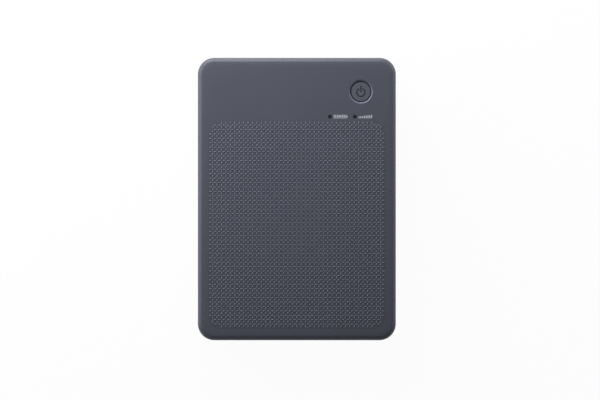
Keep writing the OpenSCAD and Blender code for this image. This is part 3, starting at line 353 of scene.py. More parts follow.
@dataclass(frozen=True)
class MouldedPlastic(Tinted):
    """Injection-moulded plastic with spark-eroded grain, faint flow and rubbed edges; where asked
    it also takes painted shade over a field and in a round well, and a painted highlight on the
    well's rim.

    Attributes:
        rough: roughness.
        grain: size of the grain.
        shine: specular level.
        rubbed_heights: heights of the edges that hands have rubbed.
        painted_shade_field: half width, lowest and highest y, and lowest z of a field whose colour
            is darkened as painted shade between raised dashes.
        painted_well_and_ring: x, y, inner and outer radius of a ring with a painted highlight round
            a well with painted shade.
    """

    rough: float = 0.5
    grain: float = 0.22
    shine: float = 0.5
    rubbed_heights: tuple[float, ...] = ()
    painted_shade_field: tuple[float, ...] = ()
    painted_well_and_ring: tuple[float, ...] = ()
    shade_field_corner: float = 6.5
    field_shade_tone: float = 0.93
    rubbed_tone: float = 1.45
    well_shade_tone: float = 0.4
    ring_highlight_tone: float = 1.9

    def paint(self, graph: Graph) -> None:
        """Adds the flow, the grain, the worn places and any painted shade and painted highlight.

        Args:
            graph: the material's graph.
        """
        flow, speck = graph.noise(26, 3), graph.noise(self.grain * 2.2, 2)
        colour = self.varied(graph, (flow * 0.55 + speck * 0.45).clipped())
        if self.rubbed_heights:
            colour = self.rub_edges(graph, colour)
        # Painted shade: the dash field's ground is darkened where shade falls between the raised
        # dashes.
        if self.painted_shade_field:
            inside = self.within_field(graph)
            colour = graph.mix(colour, self.tone(self.field_shade_tone), inside * 0.9)
        # Painted shade in a round well and a painted highlight on the ring at its rim.
        if self.painted_well_and_ring:
            colour = self.paint_well_and_ring(graph, colour)
        graph.feed(Base_Color=colour, Roughness=self.rough - 0.06 + flow * 0.07 + speck * 0.05,
                   Specular_IOR_Level=self.shine)
        graph.bump(graph.noise(self.grain, 3), depth=0.014, strength=0.6)

    def rub_edges(self, graph: Graph, colour: Socket) -> Socket:
        """Lightens the edges that hands have rubbed.

        Args:
            graph: the material's graph.
            colour: the colour so far.

        Returns:
            The colour with the rubbed edges.
        """
        patches = graph.noise(1.4, 3).step(0.5, 4)
        for height in self.rubbed_heights:
            edge = (1 - abs(graph.axis("Z") - height) * 2.2).clipped()
            colour = graph.mix(colour, self.tone(self.rubbed_tone), edge * patches * 0.5)
        return colour

    def within_field(self, graph: Graph) -> Value:
        """Marks the top of a rectangle with rounded corners.

        Args:
            graph: the material's graph.

        Returns:
            1 inside the field.
        """
        half_x, low_y, high_y, low_z = self.painted_shade_field
        half_y = (high_y - low_y) / 2 - self.shade_field_corner
        across = (abs(graph.axis("X")) - (half_x - self.shade_field_corner)).positive()
        along = (abs(graph.axis("Y") - (low_y + high_y) / 2) - half_y).positive()
        return (across.hypot(along) < self.shade_field_corner) * (graph.axis("Z") > low_z)

    def paint_well_and_ring(self, graph: Graph, colour: Socket) -> Socket:
        """Paints shade into a round well and a highlight onto the ring at its rim.

        Args:
            graph: the material's graph.
            colour: the colour so far.

        Returns:
            The colour with the well and its ring.
        """
        x, y, inner_r, outer_r = self.painted_well_and_ring
        radius = (graph.axis("X") - x).hypot(graph.axis("Y") - y)
        # Painted shade inside the well.
        colour = graph.mix(colour, self.tone(self.well_shade_tone), radius < inner_r)
        # Painted highlight on the ring at the well's rim.
        on_highlight_ring = (radius > inner_r) * (radius < outer_r)
        return graph.mix(colour, self.tone(self.ring_highlight_tone), on_highlight_ring)


@dataclass(frozen=True)
class Rubber(Tinted):
    """Matt rubber with a ground surface and a little bloom."""

    rough: float = 0.78
    tones: ClassVar[Pair] = (0.8, 1.35)

    def paint(self, graph: Graph) -> None:
        """Adds the bloom and the ground surface.

        Args:
            graph: the material's graph.
        """
        bloom, fine = graph.noise(6, 3), graph.noise(0.3, 2)
        colour = self.varied(graph, (bloom * 0.6 + fine * 0.4).clipped())
        graph.feed(Base_Color=colour, Roughness=self.rough - 0.08 + bloom * 0.16)
        graph.bump(fine, depth=0.02, strength=0.5)


@dataclass(frozen=True)
class Metal(Tinted):
    """Drawn, rolled or turned metal with fine lines, stains and small scratches.

    Attributes:
        rough: roughness.
        run: the way it was worked.
        line: distance of its lines.
        stain: share of the stains in its colour.
    """

    rough: float
    run: Run
    line: float = 0.12
    stain: float = 0.12
    tones: ClassVar[Pair] = (0.82, 1.12)

    def paint(self, graph: Graph) -> None:
        """Adds the lines, the stains and the scratches.

        Args:
            graph: the material's graph.
        """
        lines, stains = graph.noise(self.line, 2, self.run.value), graph.noise(7, 3)
        worn = graph.noise(1.6, 4, self.run.value, 0.7)
        share = (lines * (1 - self.stain) + stains * self.stain).clipped()
        rough = self.rough - 0.1 + lines * 0.1 + stains * 0.08 + worn * 0.08
        graph.feed(Base_Color=self.varied(graph, share), Metallic=1.0, Roughness=rough.clipped())
        graph.bump(lines, depth=0.002, strength=0.4)


@dataclass(frozen=True)
class GearResin(Tinted):
    """Self-lubricating gear resin, slightly waxy, with grease darkening it in patches."""

    tones: ClassVar[Pair] = (0.93, 1.04)
    grease_tone: float = 0.78

    def paint(self, graph: Graph) -> None:
        """Adds the flow and the grease.

        Args:
            graph: the material's graph.
        """
        flow, grease = graph.noise(3.2, 3), graph.noise(0.8, 3).step(0.5, 3)
        colour = graph.mix(self.varied(graph, flow), self.tone(self.grease_tone), grease * 0.3)
        graph.feed(Base_Color=colour, Roughness=0.44 - grease * 0.2 + flow * 0.08)
        graph.bump(graph.noise(0.25, 2), depth=0.006, strength=0.4)


@dataclass(frozen=True)
class CircuitBoard(Tinted):
    """Solder mask over copper tracks, with tinned vias and a bare laminate edge."""

    pitch: float = 1.1
    track: float = 0.16
    track_tone: float = 1.7
    via_pitch: float = 2.6
    via_r: float = 0.11
    hole_r: float = 0.055
    tin: Colour = (0.62, 0.6, 0.5)
    # Painted shade: near black where each via's hole lies.
    hole_shade: Colour = (0.02, 0.02, 0.02)
    laminate: Colour = (0.42, 0.4, 0.24)

    def paint(self, graph: Graph) -> None:
        """Adds the tracks, the vias with painted shade in their holes, and the edge.

        Args:
            graph: the material's graph.
        """
        region = graph.noise(9, 1).step(0.5, 30)
        across, along = (graph.axis(way).beat(1 / self.pitch) < self.track for way in "XY")
        tracks = across * region + along * (1 - region)
        # The smaller disc in each via is its hole, painted near black as shade.
        via, hole_shade = (graph.cells(self.via_pitch) < radius for radius in (self.via_r, self.hole_r))
        side = abs(graph.facing_up()) < 0.5
        colour = graph.mix(self.colour, self.tone(self.track_tone), tracks * 0.8)
        for over, share in ((self.tin, via), (self.hole_shade, hole_shade), (self.laminate, side)):
            colour = graph.mix(colour, over, share)
        graph.feed(Base_Color=colour, Metallic=(via - hole_shade) * 0.8, Coat_Weight=0.3,
                   Roughness=0.34 + graph.noise(0.6, 2) * 0.12 + side * 0.3, Coat_Roughness=0.2)
        graph.bump((tracks + via).clipped(), depth=0.03, strength=0.6)


@dataclass(frozen=True)
class PaperStack(Finish):
    """White photo paper, smooth on top, with the cut edges of its sheets at the sides."""

    sheet: float = 0.25
    edge_colours: tuple[Colour, Colour] = ((0.5, 0.49, 0.47), (0.86, 0.86, 0.84))
    face_colours: tuple[Colour, Colour] = ((0.82, 0.82, 0.82), (0.9, 0.9, 0.89))

    def paint(self, graph: Graph) -> None:
        """Adds the faces and the cut edges.

        Args:
            graph: the material's graph.
        """
        side, fibre = abs(graph.facing_up()) < 0.5, graph.noise(0.4, 3)
        cut = graph.axis("Z").beat(1 / self.sheet) * 2
        edge = graph.mix(*self.edge_colours, (cut * 0.8 + fibre * 0.3).clipped())
        face = graph.mix(*self.face_colours, graph.noise(14, 2))
        graph.feed(Base_Color=graph.mix(face, edge, side),
                   Roughness=0.3 + side * 0.5 + fibre * 0.06)
        graph.bump(fibre * (1 - side) * 0.2 + cut * side, depth=0.03, strength=0.5)


@dataclass(frozen=True)
class RibbonFilm(Finish):
    """Dye film: glossy, in wide bands of dye that change over along the web."""

    first: Colour
    second: Colour
    change_y: float
    wrinkle_shade_tone: float = 0.4

    def paint(self, graph: Graph) -> None:
        """Adds the bands of dye and the wrinkles.

        Args:
            Adds the bands of dye, the wrinkles and painted shade along them.
        """
        band = graph.axis("Y").step(self.change_y, 8)
        wrinkle = graph.noise(5, 2, Run.WIDTH.value)
        colour = graph.mix(self.first, self.second, band)
        # Painted shade: the film is darkened along its wrinkles.
        colour = graph.mix(colour, shaded(self.first, self.wrinkle_shade_tone), wrinkle * 0.3)
        graph.feed(Base_Color=colour, Roughness=0.16 + wrinkle * 0.14, Coat_Weight=0.4)
        graph.bump(wrinkle, depth=0.05, strength=0.4)


@dataclass(frozen=True)
class RibbonRoll(Tinted):
    """Film wound on a core, its turns showing as fine rings at the ends."""

    core: Colour
    y: float
    z: float
    core_r: float
    turns_per_mm: float = 9
    tones: ClassVar[Pair] = (0.6, 1.2)

    def paint(self, graph: Graph) -> None:
        """Adds the rings of the turns and the core.

        Args:
            graph: the material's graph.
        """
        radius = (graph.axis("Y") - self.y).hypot(graph.axis("Z") - self.z)
        rings, on_core = radius.beat(self.turns_per_mm) * 2, radius < self.core_r
        streak = graph.noise(0.9, 2, Run.WOUND.value)
        film = self.varied(graph, (rings * 0.4 + streak * 0.6).clipped())
        graph.feed(Base_Color=graph.mix(film, self.core, on_core),
                   Roughness=0.22 + on_core * 0.25 + streak * 0.1)
        graph.bump(rings, depth=0.01, strength=0.4)


@dataclass(frozen=True)
class CellPouch(Tinted):
    """Laminated foil pouch, creased a little, with seams pressed flat."""

    tones: ClassVar[Pair] = (0.85, 1.08)

    def paint(self, graph: Graph) -> None:
        """Adds the creases.

        Args:
            graph: the material's graph.
        """
        crease, fine = graph.cells(9, "SMOOTH_F1"), graph.noise(0.5, 3)
        colour = self.varied(graph, (crease * 0.6 + fine * 0.4).clipped())
        graph.feed(Base_Color=colour, Metallic=0.75, Roughness=0.32 + fine * 0.14)
        graph.bump(crease, depth=0.12, strength=0.3)


@dataclass(frozen=True)
class Ceramic(Finish):
    """Alumina bar with a dark glaze line where its heating dots lie."""

    line_y: float
    line_w: float = 0.7
    resin_y: float = 3.1
    resin_w: float = 0.8
    dots_per_mm: float = 4
    traces_per_mm: float = 2.5
    alumina: tuple[Colour, Colour] = ((0.5, 0.49, 0.47), (0.6, 0.59, 0.57))
    trace_gold: Colour = (0.5, 0.4, 0.22)
    resin_black: Colour = (0.012, 0.012, 0.014)
    glaze_brown: Colour = (0.16, 0.12, 0.08)
    dot_gold: Colour = (0.5, 0.36, 0.16)

    def paint(self, graph: Graph) -> None:
        """Adds the traces, the resin, the glaze and the dots to the underside.

        Args:
            graph: the material's graph.
        """
        x, y, under = graph.axis("X"), graph.axis("Y"), graph.facing_up() < -0.5
        glaze = abs(y - self.line_y) < self.line_w
        resin = abs(y - self.line_y - self.resin_y) < self.resin_w
        dots = x.beat(self.dots_per_mm) < 0.3
        traces = (x.beat(self.traces_per_mm) < 0.26) * (y > self.line_y)
        colour = graph.mix(*self.alumina, graph.noise(1.5, 3))
        for over, share in ((self.trace_gold, traces * under * 0.75),
                            (self.resin_black, resin * under),
                            (self.glaze_brown, glaze * under),
                            (self.dot_gold, glaze * under * dots * 0.6)):
            colour = graph.mix(colour, over, share)
        graph.feed(Base_Color=colour, Roughness=0.42 - glaze * 0.25 - resin * 0.1)
        graph.bump(graph.noise(0.2, 2) + resin * under, depth=0.02, strength=0.4)


@dataclass(frozen=True)
class SmokedLens(Tinted):
    """Dark moulded acrylic, polished on top and hazy inside."""

    tones: ClassVar[Pair] = (0.7, 1.5)

    def paint(self, graph: Graph) -> None:
        """Adds the haze.

        Args:
            graph: the material's graph.
        """
        haze = graph.noise(0.5, 2)
        graph.feed(Base_Color=self.varied(graph, haze), Roughness=0.12 + haze * 0.1,
                   Coat_Weight=0.6, Coat_Roughness=0.06)


@dataclass(frozen=True)
class LeadSheath(Finish):
    """Thin insulated leads, each with its own colour by its place."""

    first: Colour
    second: Colour
    split: float
    dirt: Colour = (0.02, 0.02, 0.02)

    def paint(self, graph: Graph) -> None:
        """Adds the two colours and the dirt.

        Args:
            graph: the material's graph.
        """
        fine, other = graph.noise(0.4, 2), graph.axis("X").step(self.split, 3)
        colour = graph.mix(graph.mix(self.first, self.second, other), self.dirt, fine * 0.12)
        graph.feed(Base_Color=colour, Roughness=0.38 + fine * 0.12)
        graph.bump(fine, depth=0.008, strength=0.4)


@dataclass(frozen=True)
class PrintedInk(Tinted):
    """Pad-printed ink, a little uneven."""

    rough: float = 0.55
    tones: ClassVar[Pair] = (0.85, 1.1)

    def paint(self, graph: Graph) -> None:
        """Adds the unevenness.

        Args:
            graph: the material's graph.
        """
        fine = graph.noise(0.12, 2)
        graph.feed(Base_Color=self.varied(graph, fine), Roughness=self.rough + fine * 0.1)
        graph.bump(fine, depth=0.004, strength=0.4)


CASE_GREY = srgb(76, 78, 90)

CASE_PLASTIC = MouldedPlastic("case_plastic", CASE_GREY, shine=0.32, rubbed_heights=(18.4, 18.8))
# The lid's plastic darkens the ground of the dash field as painted shade.
LID_PLASTIC = replace(CASE_PLASTIC, name="lid_plastic", painted_shade_field=(45.8, -67.0, 40.4, 32.0),
                      # Painted shade in the power button's well and a painted highlight on the
                      # chamfer round it.
                      painted_well_and_ring=(33.0, 55.4, 5.42, 6.12))
# Painted highlight: the raised dashes are the case's grey made much lighter.
DASH_HIGHLIGHT_PLASTIC = MouldedPlastic("dash_painted_highlight", shaded(CASE_GREY, 1.76), 0.42, shine=0.36)
BUTTON_PLASTIC = MouldedPlastic("button_plastic", shaded(CASE_GREY, 1.12), 0.46)
INNER_PLASTIC = MouldedPlastic("inner_plastic", srgb(52, 53, 57), 0.55)
CASSETTE_PLASTIC = MouldedPlastic("cassette_plastic", srgb(40, 40, 44), 0.42)
IVORY_PLASTIC = MouldedPlastic("ivory_plastic", srgb(226, 222, 206), 0.45)
SPOOL_PLASTIC = MouldedPlastic("spool_plastic", srgb(214, 214, 208), 0.42)
FOOT_RUBBER = Rubber("foot_rubber", srgb(34, 34, 36))
ROLLER_RUBBER = Rubber("roller_rubber", srgb(44, 44, 46), 0.66)
ROLLED_STEEL = Metal("rolled_steel", srgb(196, 198, 202), 0.34, Run.LENGTH)
TURNED_STEEL = Metal("turned_steel", srgb(204, 206, 210), 0.26, Run.TURNED, 0.3)
GRIT_STEEL = Metal("grit_steel", srgb(128, 130, 134), 0.58, Run.TURNED, 0.18, 0.4)
SPRING_STEEL = Metal("spring_steel", srgb(188, 190, 194), 0.28, Run.HEIGHT)
BLACK_SCREW = Metal("black_screw", srgb(62, 62, 66), 0.4, Run.HEIGHT)
ALUMINIUM = Metal("aluminium", srgb(206, 208, 211), 0.38, Run.WIDTH)
BRASS = Metal("brass", srgb(206, 172, 98), 0.26, Run.TURNED, 0.25)
BRONZE = Metal("sintered_bronze", srgb(176, 138, 88), 0.46, Run.TURNED, 0.2, 0.4)
GEAR_RESIN = GearResin("gear_resin", srgb(228, 226, 214))
BOARD = CircuitBoard("circuit_board", srgb(22, 92, 58))
CHIP = MouldedPlastic("chip_epoxy", srgb(30, 30, 33), grain=0.12)
MODULE_CAN = Metal("module_can", srgb(170, 176, 184), 0.4, Run.LENGTH)
PHOTO_PAPER = PaperStack("photo_paper")
POUCH = CellPouch("cell_pouch", srgb(176, 180, 184))
PLATE_FOIL = PrintedInk("plate_foil", srgb(108, 110, 118), 0.36)
LENS = SmokedLens("smoked_lens", srgb(28, 28, 34))
MARK_INK = PrintedInk("mark_ink", srgb(8, 8, 14), 0.7)
LABEL_INK = PrintedInk("label_ink", srgb(176, 178, 190))


# ---------------------------------------------------------------- modelling bench


# Share of a direction above which it counts as lying along an axis.
LEAN = 0.9
# Margin in millimetres that tells one end of a piece from the other.
NEAR = 1.0


def looks(axis: str, side: int = 0) -> Test:
    """Makes a test for what faces or runs along an axis.

    Args:
        axis: x, y or z.
        side: 1 or -1 for one way along it, 0 for both.

    Returns:
        The test, for Bench.pick.
    """
    def test(_at: Vector, way: Vector) -> bool:
        """True where the direction lies along the axis."""
        lean = getattr(way, axis)
        return (lean * side if side else abs(lean)) > LEAN

    return test


class Bench:
    """Blender's own modelling operators, with places and sizes in millimetres."""

    TURN = {"X": (0, math.pi / 2, 0), "Z": (0, 0, 0)}
    ITEMS = {"VERT": "verts", "EDGE": "edges", "FACE": "faces"}
    DOUBLE = 0.002
    NODE_DOUBLE = 0.0008
    DRAFT = 0.15
    THIN = 0.02
    ARCH_STEP = 16

    @staticmethod
    def clear() -> None:
        """Leaves edit mode and deselects everything."""
        if bpy.context.object and bpy.context.object.mode != "OBJECT":
            bpy.ops.object.mode_set(mode="OBJECT")
        bpy.ops.object.select_all(action="DESELECT")

    @classmethod
    def take(cls, *pieces: Piece) -> None:
        """Selects pieces and makes the first of them active.

        Args:
            pieces: the pieces to select.
        """
        cls.clear()
        for piece in pieces:
            piece.select_set(True)
        bpy.context.view_layer.objects.active = pieces[0]

    @classmethod
    def seat(cls, piece: Piece) -> None:
        """Puts a piece's place, turn and scale into its mesh."""
        cls.take(piece)
        bpy.ops.object.transform_apply(location=True, rotation=True, scale=True)

    @classmethod
    def add(cls, name: str, primitive: Callable[..., set[str]], centre: Point,
            scale: Point = (1, 1, 1), **settings: object) -> Piece:
        """Adds a primitive and puts its place into its mesh.

        Args:
            name: name of the object and of its mesh.
            primitive: the operator that adds it.
            centre: its middle.
            scale: factor along each axis.
            settings: what else its operator takes.

        Returns:
            The primitive.
        """
        cls.clear()
        primitive(location=Vector(centre) * MM, **settings)
        piece = bpy.context.object
        piece.scale = scale
        piece.name = name
        piece.data.name = name
        cls.seat(piece)
        return piece

    @classmethod
    def block(cls, name: str, low: Point, high: Point) -> Piece:
        """Adds a block between its lowest and its highest corner."""
        a, b = Vector(low), Vector(high)
        return cls.add(name, bpy.ops.mesh.primitive_cube_add, (a + b) / 2, (b - a) * MM, size=1)

    @classmethod
    def rod(cls, name: str, centre: Point, radius: float, length: float, axis: str,
            sides: int) -> Piece:
        """Adds a rod along X or Z."""
        return cls.add(name, bpy.ops.mesh.primitive_cylinder_add, centre, vertices=sides,
                       radius=radius * MM, depth=length * MM, rotation=cls.TURN[axis])

    @classmethod
    def disc(cls, name: str, centre: Point, radius: float, sides: int, turn: float = 0) -> Piece:
        """Adds a flat polygon that faces up, its first corner turned in degrees from +Y."""
        return cls.add(name, bpy.ops.mesh.primitive_circle_add, centre, vertices=sides,
                       radius=radius * MM, fill_type="NGON", rotation=(0, 0, math.radians(turn)))

    @classmethod
    def panel(cls, name: str, centre: Point, width: float, length: float) -> Piece:
        """Adds a flat rectangle that faces up."""
        return cls.add(name, bpy.ops.mesh.primitive_plane_add, centre,
                       (width * MM, length * MM, 1), size=1)

    @classmethod
    def edit(cls, piece: Piece, kind: str = "FACE", test: Test | None = None) -> None:
        """Enters edit mode on one piece and selects part of it.

        Args:
            piece: the piece to edit.
            kind: VERT, EDGE or FACE.
            test: what is selected, as for pick.
        """
        cls.take(piece)
        bpy.ops.object.mode_set(mode="EDIT")
        cls.pick(kind, test)

    @staticmethod
    def done() -> None:
        """Leaves edit mode."""
        bpy.ops.object.mode_set(mode="OBJECT")

    @classmethod
    def pick(cls, kind: str, test: Test | None = None) -> None:
        """Selects what passes a test in edit mode, or everything where there is none.

        Args:
            kind: VERT, EDGE or FACE.
            test: takes a place in millimetres and a normal or an edge's direction.
        """
        bpy.ops.mesh.select_mode(type=kind)
        bpy.ops.mesh.select_all(action="DESELECT" if test else "SELECT")
        if not test:
            return
        data = bpy.context.object.data
        for item in getattr(bmesh.from_edit_mesh(data), cls.ITEMS[kind]):
            if kind == "EDGE":
                first, second = (end.co for end in item.verts)
                place, way = (first + second) / 2, (second - first).normalized()
            else:
                place = item.co if kind == "VERT" else item.calc_center_median()
                way = item.normal
            if test(place / MM, way):
                item.select_set(True)
        bmesh.update_edit_mesh(data)

    @staticmethod
    def move(x: float = 0, y: float = 0, z: float = 0) -> None:
        """Moves what is selected."""
        bpy.ops.transform.translate(value=(x * MM, y * MM, z * MM))

    @staticmethod
    def raise_by(x: float = 0, y: float = 0, z: float = 0) -> None:
        """Extrudes what is selected and moves it."""
        way = {"value": (x * MM, y * MM, z * MM)}
        bpy.ops.mesh.extrude_region_move(TRANSFORM_OT_translate=way)

    @staticmethod
    def inset(thickness: float, depth: float = 0) -> None:
        """Insets the selected faces."""
        bpy.ops.mesh.inset(thickness=thickness * MM, depth=depth * MM, use_even_offset=True)

    @staticmethod
    def round_off(width: float, segments: int = 2, affect: str = "EDGES") -> None:
        """Bevels what is selected."""
        bpy.ops.mesh.bevel(offset=width * MM, segments=segments, affect=affect)

    @classmethod
    def turn_faces(cls, inside: bool = False) -> None:
        """Turns all faces of the mesh being edited outwards, or inwards."""
        cls.pick("FACE")
        bpy.ops.mesh.normals_make_consistent(inside=inside)

    @classmethod
    def smooth(cls, piece: Piece, angle: float) -> None:
        """Smooths a piece but for the edges sharper than an angle in degrees."""
        cls.take(piece)
        bpy.ops.object.shade_smooth_by_angle(angle=math.radians(angle))

    @classmethod
    def tidy(cls, piece: Piece, angle: float = 30) -> Piece:
        """Merges doubles, turns the faces outwards and smooths them.

        Args:
            piece: the piece to tidy.
            angle: edges sharper than this stay sharp, in degrees.

        Returns:
            The same piece.
        """
        cls.edit(piece)
        bpy.ops.mesh.remove_doubles(threshold=cls.DOUBLE * MM)
        cls.turn_faces()
        cls.done()
        cls.smooth(piece, angle)
        return piece

    @classmethod
    def modify(cls, piece: Piece, kind: str, **settings: object) -> None:
        """Adds a modifier and applies it.

        Args:
            piece: the piece to change.
            kind: the modifier's type.
            settings: its properties.
        """
        cls.take(piece)
        modifier = piece.modifiers.new(kind.lower(), kind)
        for name, setting in settings.items():
            setattr(modifier, name, setting)
        bpy.ops.object.modifier_apply(modifier=modifier.name)

    @classmethod
    def array(cls, piece: Piece, counts: tuple[int, int], pitches: Pair) -> Piece:
        """Repeats a piece in rows.

        Args:
            piece: the piece to repeat.
            counts: how many there are along X and along Y in the end.
            pitches: their distance along X and along Y.

        Returns:
            The same piece, now all of the rows.
        """
        for count, way in zip(counts, ((pitches[0], 0, 0), (0, pitches[1], 0))):
            if count > 1:
                cls.modify(piece, "ARRAY", count=count, use_relative_offset=False,
                           use_constant_offset=True, constant_offset_displace=Vector(way) * MM)
        return piece

    @classmethod
    def trim(cls, piece: Piece, tool: Piece, operation: str) -> None:
        """Cuts a piece with a tool by DIFFERENCE or INTERSECT and removes the tool."""
        cls.modify(piece, "BOOLEAN", operation=operation, solver="EXACT", object=tool)
        bpy.data.objects.remove(tool)

    @classmethod
    def join(cls, pieces: Sequence[Piece], name: str = "") -> Piece:
        """Joins pieces into the first of them.

        Args:
            pieces: the pieces to join.
            name: a new name for the whole, if it needs one.

        Returns:
            The whole.
        """
        cls.take(*pieces)
        bpy.ops.object.join()
        pieces[0].name = name or pieces[0].name
        return pieces[0]

    @classmethod
    def bevelled(cls, piece: Piece, width: float, segments: int = 2) -> Piece:
        """Bevels every edge of a piece.

        Args:
            piece: the piece to bevel.
            width: the bevel's width.
            segments: how many faces it has.

        Returns:
            The same piece.
        """
        cls.edit(piece, "EDGE")
        cls.round_off(width, segments)
        cls.done()
        return piece

    @classmethod
    def dished(cls, piece: Piece, test: Test, rim: float, slope: Pair) -> Piece:
        """Sinks or raises the middle of some faces inside a flat rim.

        Args:
            piece: the piece to shape.
            test: which faces.
            rim: width of the rim.
            slope: width and height of the slope inside it.

        Returns:
            The same piece.
        """
        cls.edit(piece, "FACE", test)
        cls.inset(rim)
        cls.inset(*slope)
        cls.done()
        return piece

    @classmethod
    def rib(cls, name: str, low: Point, high: Point, upwards: bool = False) -> Piece:
        """Adds a moulded rib whose free end is drawn in and rounded.

        Args:
            name: its name.
            low: its lowest corner.
            high: its highest corner.
            upwards: True where the free end is the top.

        Returns:
            The rib.
        """
        piece = cls.block(name, low, high)
        cls.edit(piece, "FACE", looks("z", 1 if upwards else -1))
        wide, long, drawn = high[0] - low[0], high[1] - low[1], 2 * cls.DRAFT
        bpy.ops.transform.resize(value=((wide - drawn) / wide, (long - drawn) / long, 1))
        cls.round_off(cls.DRAFT * 0.9, 2)
        cls.done()
        return piece

    @classmethod
    def spin_both_ways(cls, bar: Piece, along: str, hub: Point, axis: Point, angle: float,
                       steps: int) -> Piece:
        """Spins a thin bar both ways from where it stands into part of a ring.

        Args:
            bar: the bar.
            along: x or y, the way it is thin.
            hub: middle of the ring.
            axis: axis about which the end on the + side turns.
            angle: how far each end is spun, in degrees.
            steps: faces along each half.

        Returns:
            The part of a ring.
        """
        middle = getattr(Vector(hub), along)
        for side in (-1, 1):
            def own_end(at: Vector, way: Vector, side: int = side) -> bool:
                """True for the bar's own end face on this side."""
                on_bar = abs(getattr(at, along) - middle) < 1.5 * cls.THIN
                return on_bar and getattr(way, along) * side > LEAN

            cls.edit(bar, "FACE", own_end)
            bpy.ops.mesh.spin(steps=steps, angle=side * math.radians(angle), axis=axis,
                              center=Vector(hub) * MM)
            cls.done()
        return bar

    @classmethod
    def arch(cls, name: str, hub: Point, radii: Pair, width: float, sweep: float) -> Piece:
        """Adds part of a ring about an axis along X, its middle straight up.

        Args:
            name: its name.
            hub: middle of the ring.
            radii: inner and outer radius.
            width: its size along X.
            sweep: angle that it covers, in degrees.

        Returns:
            The part of a ring.
        """
        (x, y, z), half = hub, width / 2
        bar = cls.block(name, (x - half, y - cls.THIN, z + radii[0]),
                        (x + half, y + cls.THIN, z + radii[1]))
        steps = round(sweep / cls.ARCH_STEP)
        return cls.spin_both_ways(bar, "y", hub, (-1, 0, 0), sweep / 2, steps)

    @classmethod
    def paired(cls, piece: Piece, name: str, x: float) -> Piece:
        """Joins a piece with a copy of it that has its own mesh.

        Args:
            piece: the piece to copy.
            name: the copy's name.
            x: how far the copy is moved along X.

        Returns:
            Both as one piece.
        """
        made = bpy.data.objects.new(name, piece.data.copy())
        bpy.context.scene.collection.objects.link(made)
        made.location = Vector((x, 0, 0)) * MM
        cls.seat(made)
        return cls.join([piece, made])

    @classmethod
    def from_node(cls, node: str, name: str) -> Piece:
        """Copies a CAD node's mesh and merges its loose triangles.

        Args:
            node: the CAD node.
            name: the new piece's name.

        Returns:
            The new piece.
        """
        made = bpy.data.objects.new(name, frame["nodes"][node].data.copy())
        made.data.materials.clear()
        bpy.context.scene.collection.objects.link(made)
        cls.take(made)
        bpy.ops.mesh.customdata_custom_splitnormals_clear()
        cls.edit(made)
        bpy.ops.mesh.remove_doubles(threshold=cls.NODE_DOUBLE * MM)
        cls.done()
        return made


def finish(piece: Piece, body: str, material: bpy.types.Material) -> None:
    """Dresses a new piece, puts it on its body and logs it.

    Args:
        piece: the finished mesh object.
        body: the CAD body that carries it.
        material: its material.
    """
    piece.data.materials.clear()
    piece.data.materials.append(material)
    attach(piece, body)
    log.info("%s: %d faces on %s", piece.name, len(piece.data.polygons), body)


def box_mm(node: str) -> tuple[Vector, Vector]:
    """Lowest and highest corner of a CAD node, in millimetres."""
    low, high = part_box(node)
    return low / MM, high / MM


def middle_mm(node: str) -> Vector:
    """Middle of a CAD node's box, in millimetres."""
    low, high = box_mm(node)
    return (low + high) / 2


# ---------------------------------------------------------------- sub-assemblies


